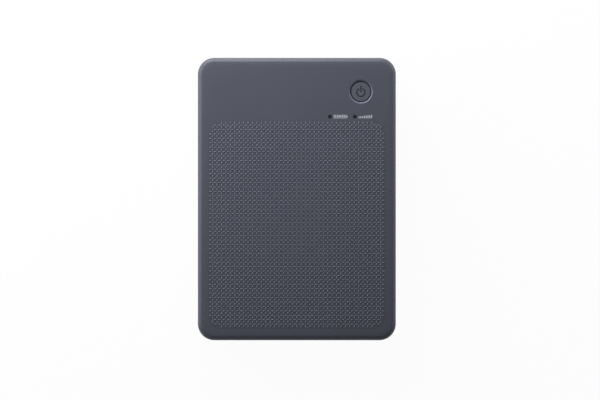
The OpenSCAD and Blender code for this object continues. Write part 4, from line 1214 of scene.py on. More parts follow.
@dataclass
class Lid:
    """Lid with a rounded edge, a faintly crowned roof and a field of raised dashes."""

    edge_r: float = 2.4
    edge_angles: tuple[int, ...] = (0, 12, 24, 36, 48, 60, 70, 80, 90)
    corner_r: float = 8.5
    corner_steps: int = 20
    crown_w: float = 5.2
    crown_drop: float = 0.42
    crown_steps: tuple[float, ...] = (0.5, 1.1, 1.8)
    skirt: float = 2.0
    spare: float = 0.01
    lift: float = 0.004
    shell_smooth: float = 24.0
    pitch: float = 2.28
    dash_l: float = 1.5
    dash_w: float = 0.62
    dash_h: float = 0.2
    dash_sides: int = 6
    dash_sunk: float = 0.05
    dash_wall: float = 0.4
    dash_steps: tuple[tuple[float, float], ...] = ((0.12, 0.35), (0.2, 0.25))
    dash_smooth: float = 80.0
    columns: int = 40
    rows: int = 46
    field_x: float = 45.4
    field_low: float = -66.6
    field_high: float = 40.0
    field_corner: float = 6.5

    def __post_init__(self) -> None:
        """Reads the lid's own corners from the frame."""
        self.low, self.high = box_mm("lid_shell")
        self.top = self.high.z
        self.field_y = (self.field_low + self.field_high) / 2

    def build(self, surface: bpy.types.Material) -> None:
        """Models and places the lid's pieces."""
        self.build_shell(surface)
        self.build_field()

    def profile(self) -> list[tuple[float, float]]:
        """Works out the rings of the roof's edge.

        Returns:
            For each ring its inset from the side and its height below the top.
        """
        places = [self.edge_r * (1 - math.cos(math.radians(a))) for a in self.edge_angles]
        places += [self.edge_r + step for step in self.crown_steps] + [self.crown_w]
        rings = []
        for place in places:
            share = max(0.0, 1 - place / self.edge_r)
            fillet = self.edge_r * (1 - math.sqrt(1 - share * share))
            crown = self.crown_drop * max(0.0, 1 - place / self.crown_w) ** 2
            rings.append((place, fillet + crown))
        return rings

    def crown_block(self) -> Piece:
        """Models the rounded block that trims the roof to its crown.

        Returns:
            The block, a little larger all round than the lid.
        """
        rings, bottom = self.profile(), self.low.z - self.skirt
        block = Bench.panel("crown_block", (0, 0, bottom),
                            self.high.x - self.low.x + 2 * self.spare,
                            self.high.y - self.low.y + 2 * self.spare)
        Bench.edit(block, "VERT")
        Bench.round_off(self.corner_r + self.spare, self.corner_steps, "VERTICES")
        Bench.pick("FACE")
        Bench.raise_by(z=self.top - rings[0][1] - bottom)
        Bench.pick("FACE", lambda at, way: at.z > bottom + NEAR and abs(way.z) > LEAN)
        before = (-self.spare, rings[0][1])
        for ring in rings[1:]:
            Bench.inset(ring[0] - before[0], before[1] - ring[1])
            before = ring
        Bench.move(z=self.lift)
        Bench.turn_faces()
        Bench.done()
        return block

    def build_shell(self, surface: bpy.types.Material) -> None:
        """Trims a copy of the lid to its crown and puts it in the lid's place.

        Args:
            surface: the lid's material.
        """
        shell = Bench.from_node("lid_shell", "lid_cover")
        Bench.trim(shell, self.crown_block(), "INTERSECT")
        Bench.tidy(shell, self.shell_smooth)
        finish(shell, "lid", surface)
        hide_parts("lid_shell")

    def build_field(self) -> None:
        """Models one raised dash each way, repeats both and trims the field's corners."""
        dashes = []
        for along, columns, rows in (("x", self.columns, self.rows),
                                     ("y", self.columns - 1, self.rows + 1)):
            x0 = -(columns - 1) / 2 * self.pitch
            y0 = self.field_y - (rows - 1) / 2 * self.pitch
            dash = self.dash(f"dash_{along}", (x0, y0, self.top - self.dash_sunk), along)
            dashes.append(Bench.array(dash, (columns, rows), (self.pitch, self.pitch)))
        weave = Bench.join(dashes, "embossed_field")
        self.trim_corners(weave)
        Bench.smooth(weave, self.dash_smooth)
        # The dashes carry a painted highlight, a much lighter copy of the case's grey.
        finish(weave, "lid", DASH_HIGHLIGHT_PLASTIC.material())

    def dash(self, name: str, place: Point, along: str) -> Piece:
        """Models one dash as a stadium with sloping sides.

        Args:
            name: its name.
            place: the middle of its underside.
            along: x or y, the way it runs.

        Returns:
            The dash.
        """
        piece = Bench.disc(name, place, self.dash_w / 2, self.dash_sides, 90 if along == "x" else 0)
        stretch, near = (self.dash_l - self.dash_w) / 2, 0.05
        Bench.edit(piece, "VERT")
        for side in (-1, 1):
            def on_side(at: Vector, _way: Vector, side: int = side) -> bool:
                """True for the points on this end of the dash."""
                return side * (getattr(at, along) - place["xy".index(along)]) > near

            Bench.pick("VERT", on_side)
            Bench.move(**{along: side * stretch})
        Bench.pick("FACE")
        Bench.raise_by(z=self.dash_sunk + self.dash_h * self.dash_wall)
        Bench.pick("FACE", lambda at, way: at.z > place[2] + self.dash_sunk and abs(way.z) > LEAN)
        for width, height in self.dash_steps:
            Bench.inset(self.dash_w * width, self.dash_h * height)
        Bench.turn_faces()
        Bench.done()
        return piece

    def trim_corners(self, weave: Piece) -> None:
        """Removes the dashes outside the field's rounded corners.

        Args:
            weave: all dashes as one piece.
        """
        corner_x = self.field_x - self.field_corner
        corner_y = (self.field_high - self.field_low) / 2 - self.field_corner

        def outside(at: Vector, _way: Vector) -> bool:
            """True beyond the arc of a corner."""
            dx, dy = abs(at.x) - corner_x, abs(at.y - self.field_y) - corner_y
            return dx > 0 and dy > 0 and math.hypot(dx, dy) > self.field_corner

        Bench.edit(weave, "VERT", outside)
        bpy.ops.mesh.select_linked()
        bpy.ops.mesh.delete(type="VERT")
        Bench.done()


@dataclass
class Controls:
    """Power mark on the button's cap and the printed marks beside the lamps.

    Of the battery's sizes, `nub` holds the gap before its nub, the nub's width and how much
    lower it is at each end, and `cell_at` the first cell's place in the outline.
    """

    ink_h: float = 0.02
    ink_sunk: float = 0.01
    ink_edge: float = 0.006
    ring_r: float = 2.08
    ring_line: float = 0.62
    ring_gap: float = 24.0
    ring_drop: float = 0.4
    ring_steps: int = 40
    bar_foot: float = 0.2
    bar_l: float = 3.3
    lens_r: float = 1.6
    label_gap: float = 1.9
    label_drop: float = 0.85
    charge_w: float = 6.7
    charge_h: float = 1.7
    charge_line: float = 0.26
    nub: tuple[float, float, float] = (0.12, 0.36, 0.5)
    cells: int = 5
    cell_at: tuple[float, float] = (0.55, 0.52)
    cell_w: float = 0.85
    cell_pitch: float = 1.17
    signal_bars: int = 8
    signal_w: float = 0.55
    signal_pitch: float = 0.92
    signal_h: float = 0.85
    signal_step: float = 0.12

    def __post_init__(self) -> None:
        """Finds the button and the lamps in the frame."""
        _low, high = box_mm("power_button")
        middle = middle_mm("power_button")
        self.mark_at = (middle.x, middle.y - self.ring_drop, high.z)
        low, high = box_mm("lamp_lenses")
        self.label_y = (low.y + high.y) / 2 - self.label_drop
        self.label_z = high.z - self.ink_sunk
        self.charge_x = low.x + self.lens_r + self.label_gap
        self.signal_x = high.x - self.lens_r + self.label_gap

    def build(self) -> None:
        """Models and places the marks."""
        self.build_power_mark(MARK_INK.material())
        ink = LABEL_INK.material()
        self.build_charge_mark(ink)
        self.build_signal_mark(ink)

    def build_power_mark(self, ink: bpy.types.Material) -> None:
        """Models the open ring, spun from its lowest point, and the bar at its gap.

        Args:
            ink: the mark's material.
        """
        (x, y, z), half = self.mark_at, self.ring_line / 2
        low, high = z - self.ink_sunk, z + self.ink_h
        ring = Bench.block("open_ring", (x - Bench.THIN, y - self.ring_r - half, low),
                           (x + Bench.THIN, y - self.ring_r + half, high))
        ring = Bench.spin_both_ways(ring, "x", self.mark_at, (0, 0, 1), 180 - self.ring_gap,
                                    self.ring_steps)
        foot = y + self.bar_foot
        bar = Bench.block("power_bar", (x - half, foot, low), (x + half, foot + self.bar_l, high))
        bar = Bench.bevelled(bar, self.ink_edge, 1)
        finish(Bench.tidy(Bench.join([ring, bar], "power_mark")), "button", ink)

    def flat_bar(self, name: str, x: float, y: float, width: float, height: float) -> Piece:
        """Models one printed bar on the lid.

        Args:
            name: its name.
            x: its left side.
            y: its foot.
            width: its size along X.
            height: its size along Y.

        Returns:
            The bar.
        """
        top = self.label_z + self.ink_sunk + self.ink_h
        bar = Bench.block(name, (x, y, self.label_z), (x + width, y + height, top))
        return Bench.bevelled(bar, self.ink_edge, 1)

    def build_charge_mark(self, ink: bpy.types.Material) -> None:
        """Models a battery outline with its nub and cells beside the left lamp.

        Args:
            ink: the mark's material.
        """
        x, y, width, height = self.charge_x, self.label_y, self.charge_w, self.charge_h
        outline = self.flat_bar("charge_mark", x, y, width, height)
        Bench.edit(outline, "FACE", looks("z"))
        Bench.inset(self.charge_line)
        bpy.ops.mesh.delete(type="FACE")
        bpy.ops.mesh.select_mode(type="EDGE")
        bpy.ops.mesh.select_non_manifold(extend=False)
        bpy.ops.mesh.bridge_edge_loops()
        Bench.done()
        Bench.tidy(outline)
        (nub_gap, nub_w, nub_in), (cell_x, cell_y) = self.nub, self.cell_at
        nub = self.flat_bar("charge_nub", x + width + nub_gap, y + nub_in, nub_w,
                            height - 2 * nub_in)
        cells = [self.flat_bar(f"charge_bar_{i}", x + cell_x + self.cell_pitch * i, y + cell_y,
                               self.cell_w, height - 2 * cell_y) for i in range(self.cells)]
        finish(Bench.join([outline, nub, *cells]), "lid", ink)

    def build_signal_mark(self, ink: bpy.types.Material) -> None:
        """Models rising signal bars beside the right lamp.

        Args:
            ink: the mark's material.
        """
        bars = [self.flat_bar("signal_mark", self.signal_x + self.signal_pitch * i,
                              self.label_y, self.signal_w, self.signal_h + self.signal_step * i)
                for i in range(self.signal_bars)]
        finish(Bench.join(bars), "lid", ink)


@dataclass
class LidInside:
    """Stiffening ribs, gussets and ejector marks inside the lid's roof."""

    roof_t: float = 2.0
    wall_t: float = 1.8
    root: float = 0.3
    rib_t: float = 1.1
    rib_h: float = 2.1
    long_step: float = 0.35
    cross_ys: tuple[float, ...] = (-58.0, -41.0, -24.0, -7.0, 10.0)
    long_xs: tuple[float, ...] = (-36.0, -18.0, 0.0, 18.0, 36.0)
    long_low: float = -64.0
    long_high: float = 27.0
    gusset_w: float = 5.0
    gusset_h: float = 7.5
    gusset_t: float = 0.9
    gusset_rise: float = 6.0
    gusset_edge: float = 0.12
    mark_r: float = 1.9
    mark_sides: int = 32
    mark_h: float = 0.2
    mark_sunk: float = 0.02
    mark_rim: float = 0.35
    mark_slope: Pair = (0.15, -0.08)

    def __post_init__(self) -> None:
        """Finds the roof's underside and the walls' inner side."""
        _low, high = box_mm("lid_shell")
        self.roof = high.z - self.roof_t
        self.wall_x = high.x - self.wall_t

    def build(self, surface: bpy.types.Material) -> None:
        """Models and places the ribs, gussets and marks.

        Args:
            surface: the lid's material.
        """
        half, top = self.rib_t / 2, self.roof + self.root
        low, long_low = self.roof - self.rib_h, self.roof - self.rib_h + self.long_step
        ribs = [Bench.rib("cross_rib", (-self.wall_x, y - half, low), (self.wall_x, y + half, top))
                for y in self.cross_ys]
        ribs += [Bench.rib("long_rib", (x - half, self.long_low, long_low),
                           (x + half, self.long_high, top)) for x in self.long_xs]
        ribs += [self.gusset(side, y) for side in (-1, 1) for y in self.cross_ys[:-1]]
        finish(Bench.tidy(Bench.join(ribs, "lid_ribs")), "lid", surface)
        self.build_marks(surface)

    def gusset(self, side: int, y: float) -> Piece:
        """Models one sloping gusset between the roof and a side wall.

        Args:
            side: 1 for the right wall, -1 for the left.
            y: its middle.

        Returns:
            The gusset.
        """
        inner, outer = sorted((side * (self.wall_x - self.gusset_w),
                               side * (self.wall_x + self.root)))
        half, head = self.gusset_t / 2, 0.2
        piece = Bench.block("gusset", (inner, y - half, self.roof - self.gusset_h),
                            (outer, y + half, self.roof + head))
        Bench.edit(piece, "VERT",
                   lambda at, _way: at.z < self.roof - NEAR and abs(at.x) < self.wall_x - NEAR)
        Bench.move(z=self.gusset_rise)
        Bench.done()
        return Bench.bevelled(piece, self.gusset_edge, 1)

    def build_marks(self, surface: bpy.types.Material) -> None:
        """Models one shallow ejector mark and repeats it between the ribs.

        Args:
            surface: the lid's material.
        """
        pitch_x = self.long_xs[1] - self.long_xs[0]
        pitch_y = self.cross_ys[1] - self.cross_ys[0]
        at = (self.long_xs[0] + pitch_x / 2, self.cross_ys[0] + pitch_y / 2,
              self.roof - self.mark_sunk)
        mark = Bench.rod("ejector_marks", at, self.mark_r, self.mark_h, "Z", self.mark_sides)
        Bench.dished(mark, looks("z", -1), self.mark_rim, self.mark_slope)
        Bench.array(mark, (len(self.long_xs) - 1, len(self.cross_ys) - 1), (pitch_x, pitch_y))
        finish(Bench.tidy(mark), "lid", surface)


@dataclass
class BaseInside:
    """Ribs on the base's floor and walls beside the paper tray."""

    wall_t: float = 1.8
    root: float = 0.3
    tray_gap: float = 1.2
    rib_t: float = 1.1
    rib_h: float = 2.4
    long_h: float = 2.0
    wall_rib_w: float = 1.6
    wall_rib_h: float = 13.0
    wall_rib_taper: float = 1.2
    wall_rib_edge: float = 0.12
    ys: tuple[float, ...] = (-60.0, -48.0, -36.0, -24.0, -12.0)

    def __post_init__(self) -> None:
        """Finds the floor, the walls and the tray's side."""
        _low, high = box_mm("base_case")
        tray_low, tray_high = box_mm("paper_tray")
        self.wall_x = high.x - self.wall_t
        self.floor_z = tray_low.z
        self.inner_x = tray_high.x + self.tray_gap

    def build(self, case: bpy.types.Material) -> None:
        """Models and places the ribs of both sides.

        Args:
            case: the base's material.
        """
        half, foot = self.rib_t / 2, self.floor_z - self.root
        ribs = []
        for side in (-1, 1):
            low_x, high_x = sorted((side * self.inner_x, side * (self.wall_x + self.root)))
            for y in self.ys:
                ribs.append(Bench.rib("floor_rib", (low_x, y - half, foot),
                                      (high_x, y + half, self.floor_z + self.rib_h), upwards=True))
                ribs.append(self.wall_rib(side, y))
            x = side * (self.inner_x + self.wall_x) / 2
            ribs.append(Bench.rib("long_floor_rib", (x - half, self.ys[0], foot),
                                  (x + half, self.ys[-1], self.floor_z + self.long_h),
                                  upwards=True))
        finish(Bench.tidy(Bench.join(ribs, "base_ribs")), "base", case)

    def wall_rib(self, side: int, y: float) -> Piece:
        """Models one upright rib that thins towards the base's rim.

        Args:
            side: 1 for the right wall, -1 for the left.
            y: its middle.

        Returns:
            The rib.
        """
        inner, outer = sorted((side * (self.wall_x - self.wall_rib_w),
                               side * (self.wall_x + self.root)))
        half, top = self.rib_t / 2, self.floor_z + self.wall_rib_h
        piece = Bench.block("wall_rib", (inner, y - half, self.floor_z - self.root),
                            (outer, y + half, top))
        Bench.edit(piece, "VERT", lambda at, _way: at.z > top - NEAR and abs(at.x) < self.wall_x)
        Bench.move(x=side * self.wall_rib_taper)
        Bench.done()
        return Bench.bevelled(piece, self.wall_rib_edge, 1)


@dataclass
class PickupTyres:
    """Ribbed rubber tyres on two hubs of the pickup shaft."""

    tyre_w: float = 12.0
    tyre_in: float = 0.3
    tyre_x: float = 16.0
    rib_h: float = 0.24
    rib_in: float = 0.04
    ribs: int = 45
    edge: float = 0.35
    hub_r: float = 3.3
    hub_out: float = 0.4
    hub_rim: float = 0.7
    hub_sides: int = 40
    hub_dish: Pair = (0.12, -0.3)
    smooth: float = 35.0

    def __post_init__(self) -> None:
        """Finds the right-hand tyre in the frame."""
        low, high = box_mm("pickup_tyres")
        self.radius = (high.z - low.z) / 2
        self.at = (self.tyre_x, (low.y + high.y) / 2, (low.z + high.z) / 2)

    def build(self) -> None:
        """Models one tyre and one hub, and copies each to the other side."""
        tyre = Bench.paired(self.tyre(), "left_tyre", -2 * self.tyre_x)
        finish(tyre, "pickup", ROLLER_RUBBER.material())
        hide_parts("pickup_tyres")
        hub = Bench.paired(self.hub(), "left_hub", -2 * self.tyre_x)
        finish(hub, "pickup", IVORY_PLASTIC.material())

    def tyre(self) -> Piece:
        """Models one tyre with ribs raised from every second face.

        Returns:
            The right-hand tyre.
        """
        _x, y, z = self.at
        piece = Bench.rod("ribbed_tyres", self.at, self.radius - self.rib_h,
                          self.tyre_w - 2 * self.tyre_in, "X", self.ribs * 2)
        Bench.edit(piece, "EDGE", lambda _at, way: abs(way.x) < 1 - LEAN)
        Bench.round_off(self.edge, 2)

        def every_second(place: Vector, way: Vector) -> bool:
            """True for every second face along the tread, by its angle."""
            beat = math.atan2(place.y - y, place.z - z) / (2 * math.pi) * self.ribs
            return abs(way.x) < 1 - LEAN and abs(beat - round(beat)) < 0.25

        Bench.pick("FACE", every_second)
        bpy.ops.mesh.inset(thickness=self.rib_in * MM, depth=self.rib_h * MM, use_individual=True)
        Bench.done()
        return Bench.tidy(piece, self.smooth)

    def hub(self) -> Piece:
        """Models one hub that shows at both ends of its tyre.

        Returns:
            The right-hand hub.
        """
        piece = Bench.rod("pickup_hubs", self.at, self.hub_r, self.tyre_w + 2 * self.hub_out,
                          "X", self.hub_sides)
        Bench.dished(piece, looks("x"), self.hub_rim, self.hub_dish)
        return Bench.tidy(piece, self.smooth)


@dataclass
class ShaftClips:
    """Open spring clips that hold the shafts in their bushes."""

    radii: Pair = (1.15, 2.5)
    thick: float = 0.35
    inboard: float = 0.35
    sweep: float = 285.0

    def build(self) -> None:
        """Models a clip for each shaft end on the side away from the gears."""
        steel = SPRING_STEEL.material()
        for body in ("platen", "pickup"):
            low, high = box_mm(f"{body}_shaft")
            hub = (low.x + self.inboard, (low.y + high.y) / 2, (low.z + high.z) / 2)
            clip = Bench.arch(f"{body}_clip", hub, self.radii, self.thick, self.sweep)
            finish(Bench.tidy(clip), body, steel)


@dataclass
class CassetteDetail:
    """Grip ribs over both spool covers of the ribbon cassette."""

    rib_w: float = 0.7
    rib_h: float = 0.35
    rib_root: float = 0.25
    pitch: float = 1.6
    count: int = 9
    sweep: float = 110.0
    smooth: float = 35.0

    def build(self) -> None:
        """Models one grip rib for each spool cover and repeats it along the axis."""
        low, high = box_mm("cassette_upper_shell")
        supply_y, takeup_y = middle_mm("supply_spool").y, middle_mm("takeup_spool").y
        surface = CASSETTE_PLASTIC.material()
        covers = (("supply_grip", supply_y, supply_y - low.y),
                  ("takeup_grip", takeup_y, high.y - takeup_y))
        for name, y, radius in covers:
            hub = (-(self.count - 1) / 2 * self.pitch, y, low.z)
            rib = Bench.arch(name, hub, (radius - self.rib_root, radius + self.rib_h),
                             self.rib_w, self.sweep)
            Bench.array(rib, (self.count, 1), (self.pitch, 0))
            finish(Bench.tidy(rib, self.smooth), "base", surface)


@dataclass
class Underside:
    """Blank plate on the base's underside."""

    width: float = 46.0
    length: float = 26.0
    corner: float = 2.0
    corner_steps: int = 6
    y: float = -24.0
    sunk: float = 0.02
    thick: float = 0.08
    edge: Pair = (0.05, -0.02)
    smooth: float = 20.0

    def build(self) -> None:
        """Models the plate as a thin sheet with rounded corners."""
        low, _high = box_mm("base_case")
        plate = Bench.panel("blank_plate", (0, self.y, low.z + self.sunk), self.width, self.length)
        Bench.edit(plate, "VERT")
        Bench.round_off(self.corner, self.corner_steps, "VERTICES")
        Bench.pick("FACE")
        Bench.raise_by(z=-self.thick)
        Bench.inset(*self.edge)
        Bench.done()
        finish(Bench.tidy(plate, self.smooth), "base", PLATE_FOIL.material())


@dataclass
class Electronics:
    """Leads of the board's two larger chips and a field of small parts.

    Each of `chips` gives a chip's corner on the board, its size and its leads on each side.
    """

    chips: tuple[tuple[tuple[int, int], tuple[int, int], int], ...] = (
        ((1, 5), (8, 8), 8),
        ((13, 3), (6, 5), 5),
    )
    lead_w: float = 0.3
    lead_t: float = 0.12
    lead_z: float = 0.4
    lead_in: float = 0.1
    lead_out: float = 0.22
    lead_slope: float = 0.14
    lead_foot: float = 0.45
    lead_pitch: float = 0.8
    part_size: tuple[float, float, float] = (1.1, 0.6, 0.4)
    part_at: Pair = (14.5, 27.5)
    part_pitch: Pair = (2.3, 1.9)
    part_counts: tuple[int, int] = (5, 5)
    part_in: float = 0.15
    part_edge: float = 0.04
    end_w: float = 0.28
    end_out: float = 0.02
    end_edge: float = 0.05

    def build(self) -> None:
        """Models and places the leads and the small parts."""
        low, _high = box_mm("board_chips")
        self.board_z = low.z
        leads = [self.leads(low.x + x, low.y + y, size, count, side)
                 for (x, y), size, count in self.chips for side in (-1, 1)]
        lead_piece = Bench.tidy(Bench.join(leads, "chip_leads"))
        finish(lead_piece, "base", SPRING_STEEL.material())
        self.build_parts(low.x + self.part_at[0], low.y + self.part_at[1])

    def leads(self, x: float, y: float, size: Pair, count: int, side: int) -> Piece:
        """Models the leads along one long side of a chip.

        Args:
            x: the chip's lowest x.
            y: its lowest y.
            size: its width and length.
            count: leads on the side.
            side: 1 for its right side, -1 for its left.

        Returns:
            The row of leads.
        """
        first_y = y + size[1] / 2 - (count - 1) / 2 * self.lead_pitch
        edge, z = x + (size[0] if side > 0 else 0), self.board_z + self.lead_z
        low_x, high_x = sorted((edge - side * self.lead_in, edge + side * self.lead_out))
        lead = Bench.block("lead", (low_x, first_y - self.lead_w / 2, z),
                           (high_x, first_y + self.lead_w / 2, z + self.lead_t))
        Bench.edit(lead, "FACE", looks("x", side))
        Bench.raise_by(x=side * self.lead_slope, z=-self.lead_z)
        Bench.raise_by(x=side * self.lead_foot)
        Bench.done()
        return Bench.array(lead, (1, count), (0, self.lead_pitch))

    def build_parts(self, x: float, y: float) -> None:
        """Models one small part with its tinned ends and repeats both.

        Args:
            x: the first part's lowest x.
            y: the first part's lowest y.
        """
        (wide, long, tall), z, out = self.part_size, self.board_z, self.end_out
        body = Bench.block("small_parts", (x + self.part_in, y + out, z),
                           (x + wide - self.part_in, y + long - out, z + tall))
        ends = [Bench.block("part_ends", (left, y, z - out),
                            (left + self.end_w, y + long, z + tall + out))
                for left in (x, x + wide - self.end_w)]
        body = Bench.bevelled(body, self.part_edge, 1)
        ends = Bench.join([Bench.bevelled(end, self.end_edge) for end in ends])
        for piece, slot, surface in ((body, "chip", CHIP), (ends, "steel", SPRING_STEEL)):
            Bench.array(piece, self.part_counts, self.part_pitch)
            finish(piece, "base", surface.material())


@dataclass
class ChargingPort:
    """Rounded port shell with its tongue and contacts, and the trim that fills its window."""

    steps: int = 8
    smooth: float = 40.0
    corner_spare: float = 0.05
    wall: float = 0.32
    back: float = 0.8
    spare: tuple[float, float, float] = (1.0, 0.08, 0.08)
    trim_out: float = 0.06
    trim_in: float = 0.9
    trim_y: float = 0.28
    trim_z: float = 0.16
    trim_edge: float = 0.08
    tongue_x: Pair = (1.0, 0.7)
    tongue_y: float = 3.3
    tongue_z: float = 0.35
    tongue_edge: float = 0.15
    contacts: int = 8
    contact_pitch: float = 0.5
    contact_x: Pair = (1.15, 1.2)
    contact_y: float = 0.13
    contact_z: float = 0.05
    contact_edge: float = 0.04

    def __post_init__(self) -> None:
        """Finds the port in the frame."""
        self.low, self.high = box_mm("usb_port")
        self.middle = middle_mm("usb_port")

    def build(self, case: bpy.types.Material) -> None:
        """Models and places the port's pieces.

        Args:
            case: the base's material, for the trim.
        """
        shell = self.oblong("port_shell", self.low, self.high)
        trim = self.trim()
        Bench.edit(shell, "FACE", looks("x", -1))
        Bench.inset(self.wall)
        Bench.raise_by(x=self.high.x - self.low.x - self.back)
        Bench.done()
        finish(Bench.tidy(shell, self.smooth), "base", SPRING_STEEL.material())
        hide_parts("usb_port")
        finish(Bench.tidy(trim), "base", case)
        tongue = self.slab("port_tongue", self.tongue_x, self.middle,
                           (self.tongue_y, self.tongue_z))
        tongue = Bench.bevelled(tongue, self.tongue_edge)
        finish(tongue, "base", CHIP.material())
        first = self.middle.copy()
        first.y -= (self.contacts - 1) / 2 * self.contact_pitch
        first.z += self.tongue_z
        contact = self.slab("port_contacts", self.contact_x, first,
                            (self.contact_y, self.contact_z))
        contact = Bench.bevelled(contact, self.contact_edge, 1)
        Bench.array(contact, (1, self.contacts), (0, self.contact_pitch))
        finish(contact, "base", BRASS.material())

    def oblong(self, name: str, low: Vector, high: Vector) -> Piece:
        """Models a bar along X with rounded ends across Y.

        Args:
            name: its name.
            low: its lowest corner.
            high: its highest corner.

        Returns:
            The bar.
        """
        bar = Bench.block(name, low, high)
        Bench.edit(bar, "EDGE", looks("x"))
        Bench.round_off((high.z - low.z) / 2 - self.corner_spare, self.steps)
        Bench.done()
        return bar

    def trim(self) -> Piece:
        """Models the trim round the port, with the port's shape cut out of it.

        Returns:
            The trim.
        """
        low, high, spare = self.low, self.high, Vector(self.spare)
        window = self.oblong("port_window", low - spare, high + spare)
        trim = Bench.block("port_trim",
                           (low.x - self.trim_out, low.y - self.trim_y, low.z - self.trim_z),
                           (low.x + self.trim_in, high.y + self.trim_y, high.z + self.trim_z))
        Bench.bevelled(trim, self.trim_edge)
        Bench.trim(trim, window, "DIFFERENCE")
        return trim

    def slab(self, name: str, ends: Pair, centre: Vector, halves: Pair) -> Piece:
        """Models a slab along the port.

        Args:
            name: its name.
            ends: how far it stays behind the port's mouth and short of its back.
            centre: the middle of its section.
            halves: half its width and half its thickness.

        Returns:
            The slab.
        """
        low = (self.low.x + ends[0], centre.y - halves[0], centre.z - halves[1])
        high = (self.high.x - ends[1], centre.y + halves[0], centre.z + halves[1])
        return Bench.block(name, low, high)


@dataclass(frozen=True)
class Spring:
    """One kind of compression spring and the joint that shortens it.

    Attributes:
        node: the CAD node that it stands for.
        body: the body that carries its fixed end.
        joint: the joint that presses it; not used.
        axis: its own axis, towards the moving end.
        wire: radius of its wire.
        turns: turns between its closed ends.
        pressed: how much shorter it is at the joint's limit; not used.
    """

    node: str
    body: str
    joint: str
    axis: Point
    wire: float
    turns: int
    pressed: float
    wire_sides: int = 8
    ring_steps: int = 36
    turn_steps: int = 28
    wire_share: float = 0.95
    smooth: float = 60.0

    def build(self, steel: bpy.types.Material) -> None:
        """Models the springs of the node.

        Args:
            steel: their material.
        """
        low, high = box_mm(self.node)
        way = max(range(3), key=lambda i: abs(self.axis[i]))
        across = 2 if way == 1 else 1
        length, outer = high[way] - low[way], (high[across] - low[across]) / 2
        middle = (low + high) / 2
        # A node far wider than one coil holds two of them, side by side along X.
        paired = high.x - low.x > 4 * outer
        coils = []
        for x in (low.x + outer, high.x - outer) if paired else (middle.x,):
            coil = self.coil(outer - self.wire, length)
            coil.rotation_euler = (-math.pi / 2, 0, 0) if way == 1 else (0, 0, 0)
            foot = Vector((x, middle.y, middle.z))
            foot[way] = low[way]
            coil.location = foot * MM
            Bench.seat(coil)
            coils.append(coil)
        piece = Bench.tidy(Bench.join(coils, f"{self.node}_coil"), self.smooth)
        finish(piece, self.body, steel)
        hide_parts(self.node)
        anchor = middle.copy()
        anchor[way] = low[way] if self.axis[way] > 0 else high[way]
        tuple(anchor * MM)
        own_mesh(piece)

    def coil(self, radius: float, length: float) -> Piece:
        """Models a coil along Z between two closed end rings, its foot at the origin.

        Args:
            radius: radius of the wire's middle line.
            length: length over the end rings.

        Returns:
            The coil with its end rings.
        """
        rings = [Bench.add("coil_ring", bpy.ops.mesh.primitive_torus_add, (0, 0, z),
                           major_radius=radius * MM, minor_radius=self.wire * MM,
                           major_segments=self.ring_steps, minor_segments=self.wire_sides)
                 for z in (self.wire, length - self.wire)]
        wire = Bench.add("coil_wire", bpy.ops.mesh.primitive_circle_add, (radius, 0, self.wire),
                         vertices=self.wire_sides, radius=self.wire * self.wire_share * MM,
                         rotation=(math.pi / 2, 0, 0))
        pitch = (length - 2 * self.wire) / self.turns
        Bench.modify(wire, "SCREW", axis="Z", screw_offset=pitch * MM, iterations=self.turns,
                     steps=self.turn_steps, render_steps=self.turn_steps)
        Bench.edit(wire)
        bpy.ops.mesh.fill_holes(sides=self.wire_sides)
        Bench.done()
        return Bench.join([wire, *rings])


SPRINGS = (
    Spring("head_springs", "lid", "head_slide", (0, 0, -1), 0.2, 5, 1.2),
    Spring("lift_springs", "base", "plate_tilt", (0, 0, 1), 0.15, 2, 1.22),
    Spring("lever_spring", "base", "lever_slide", (0, 1, 0), 0.13, 6, 3.0),
    Spring("button_spring", "lid", "button_press", (0, 0, 1), 0.1, 2, 0.35),
)


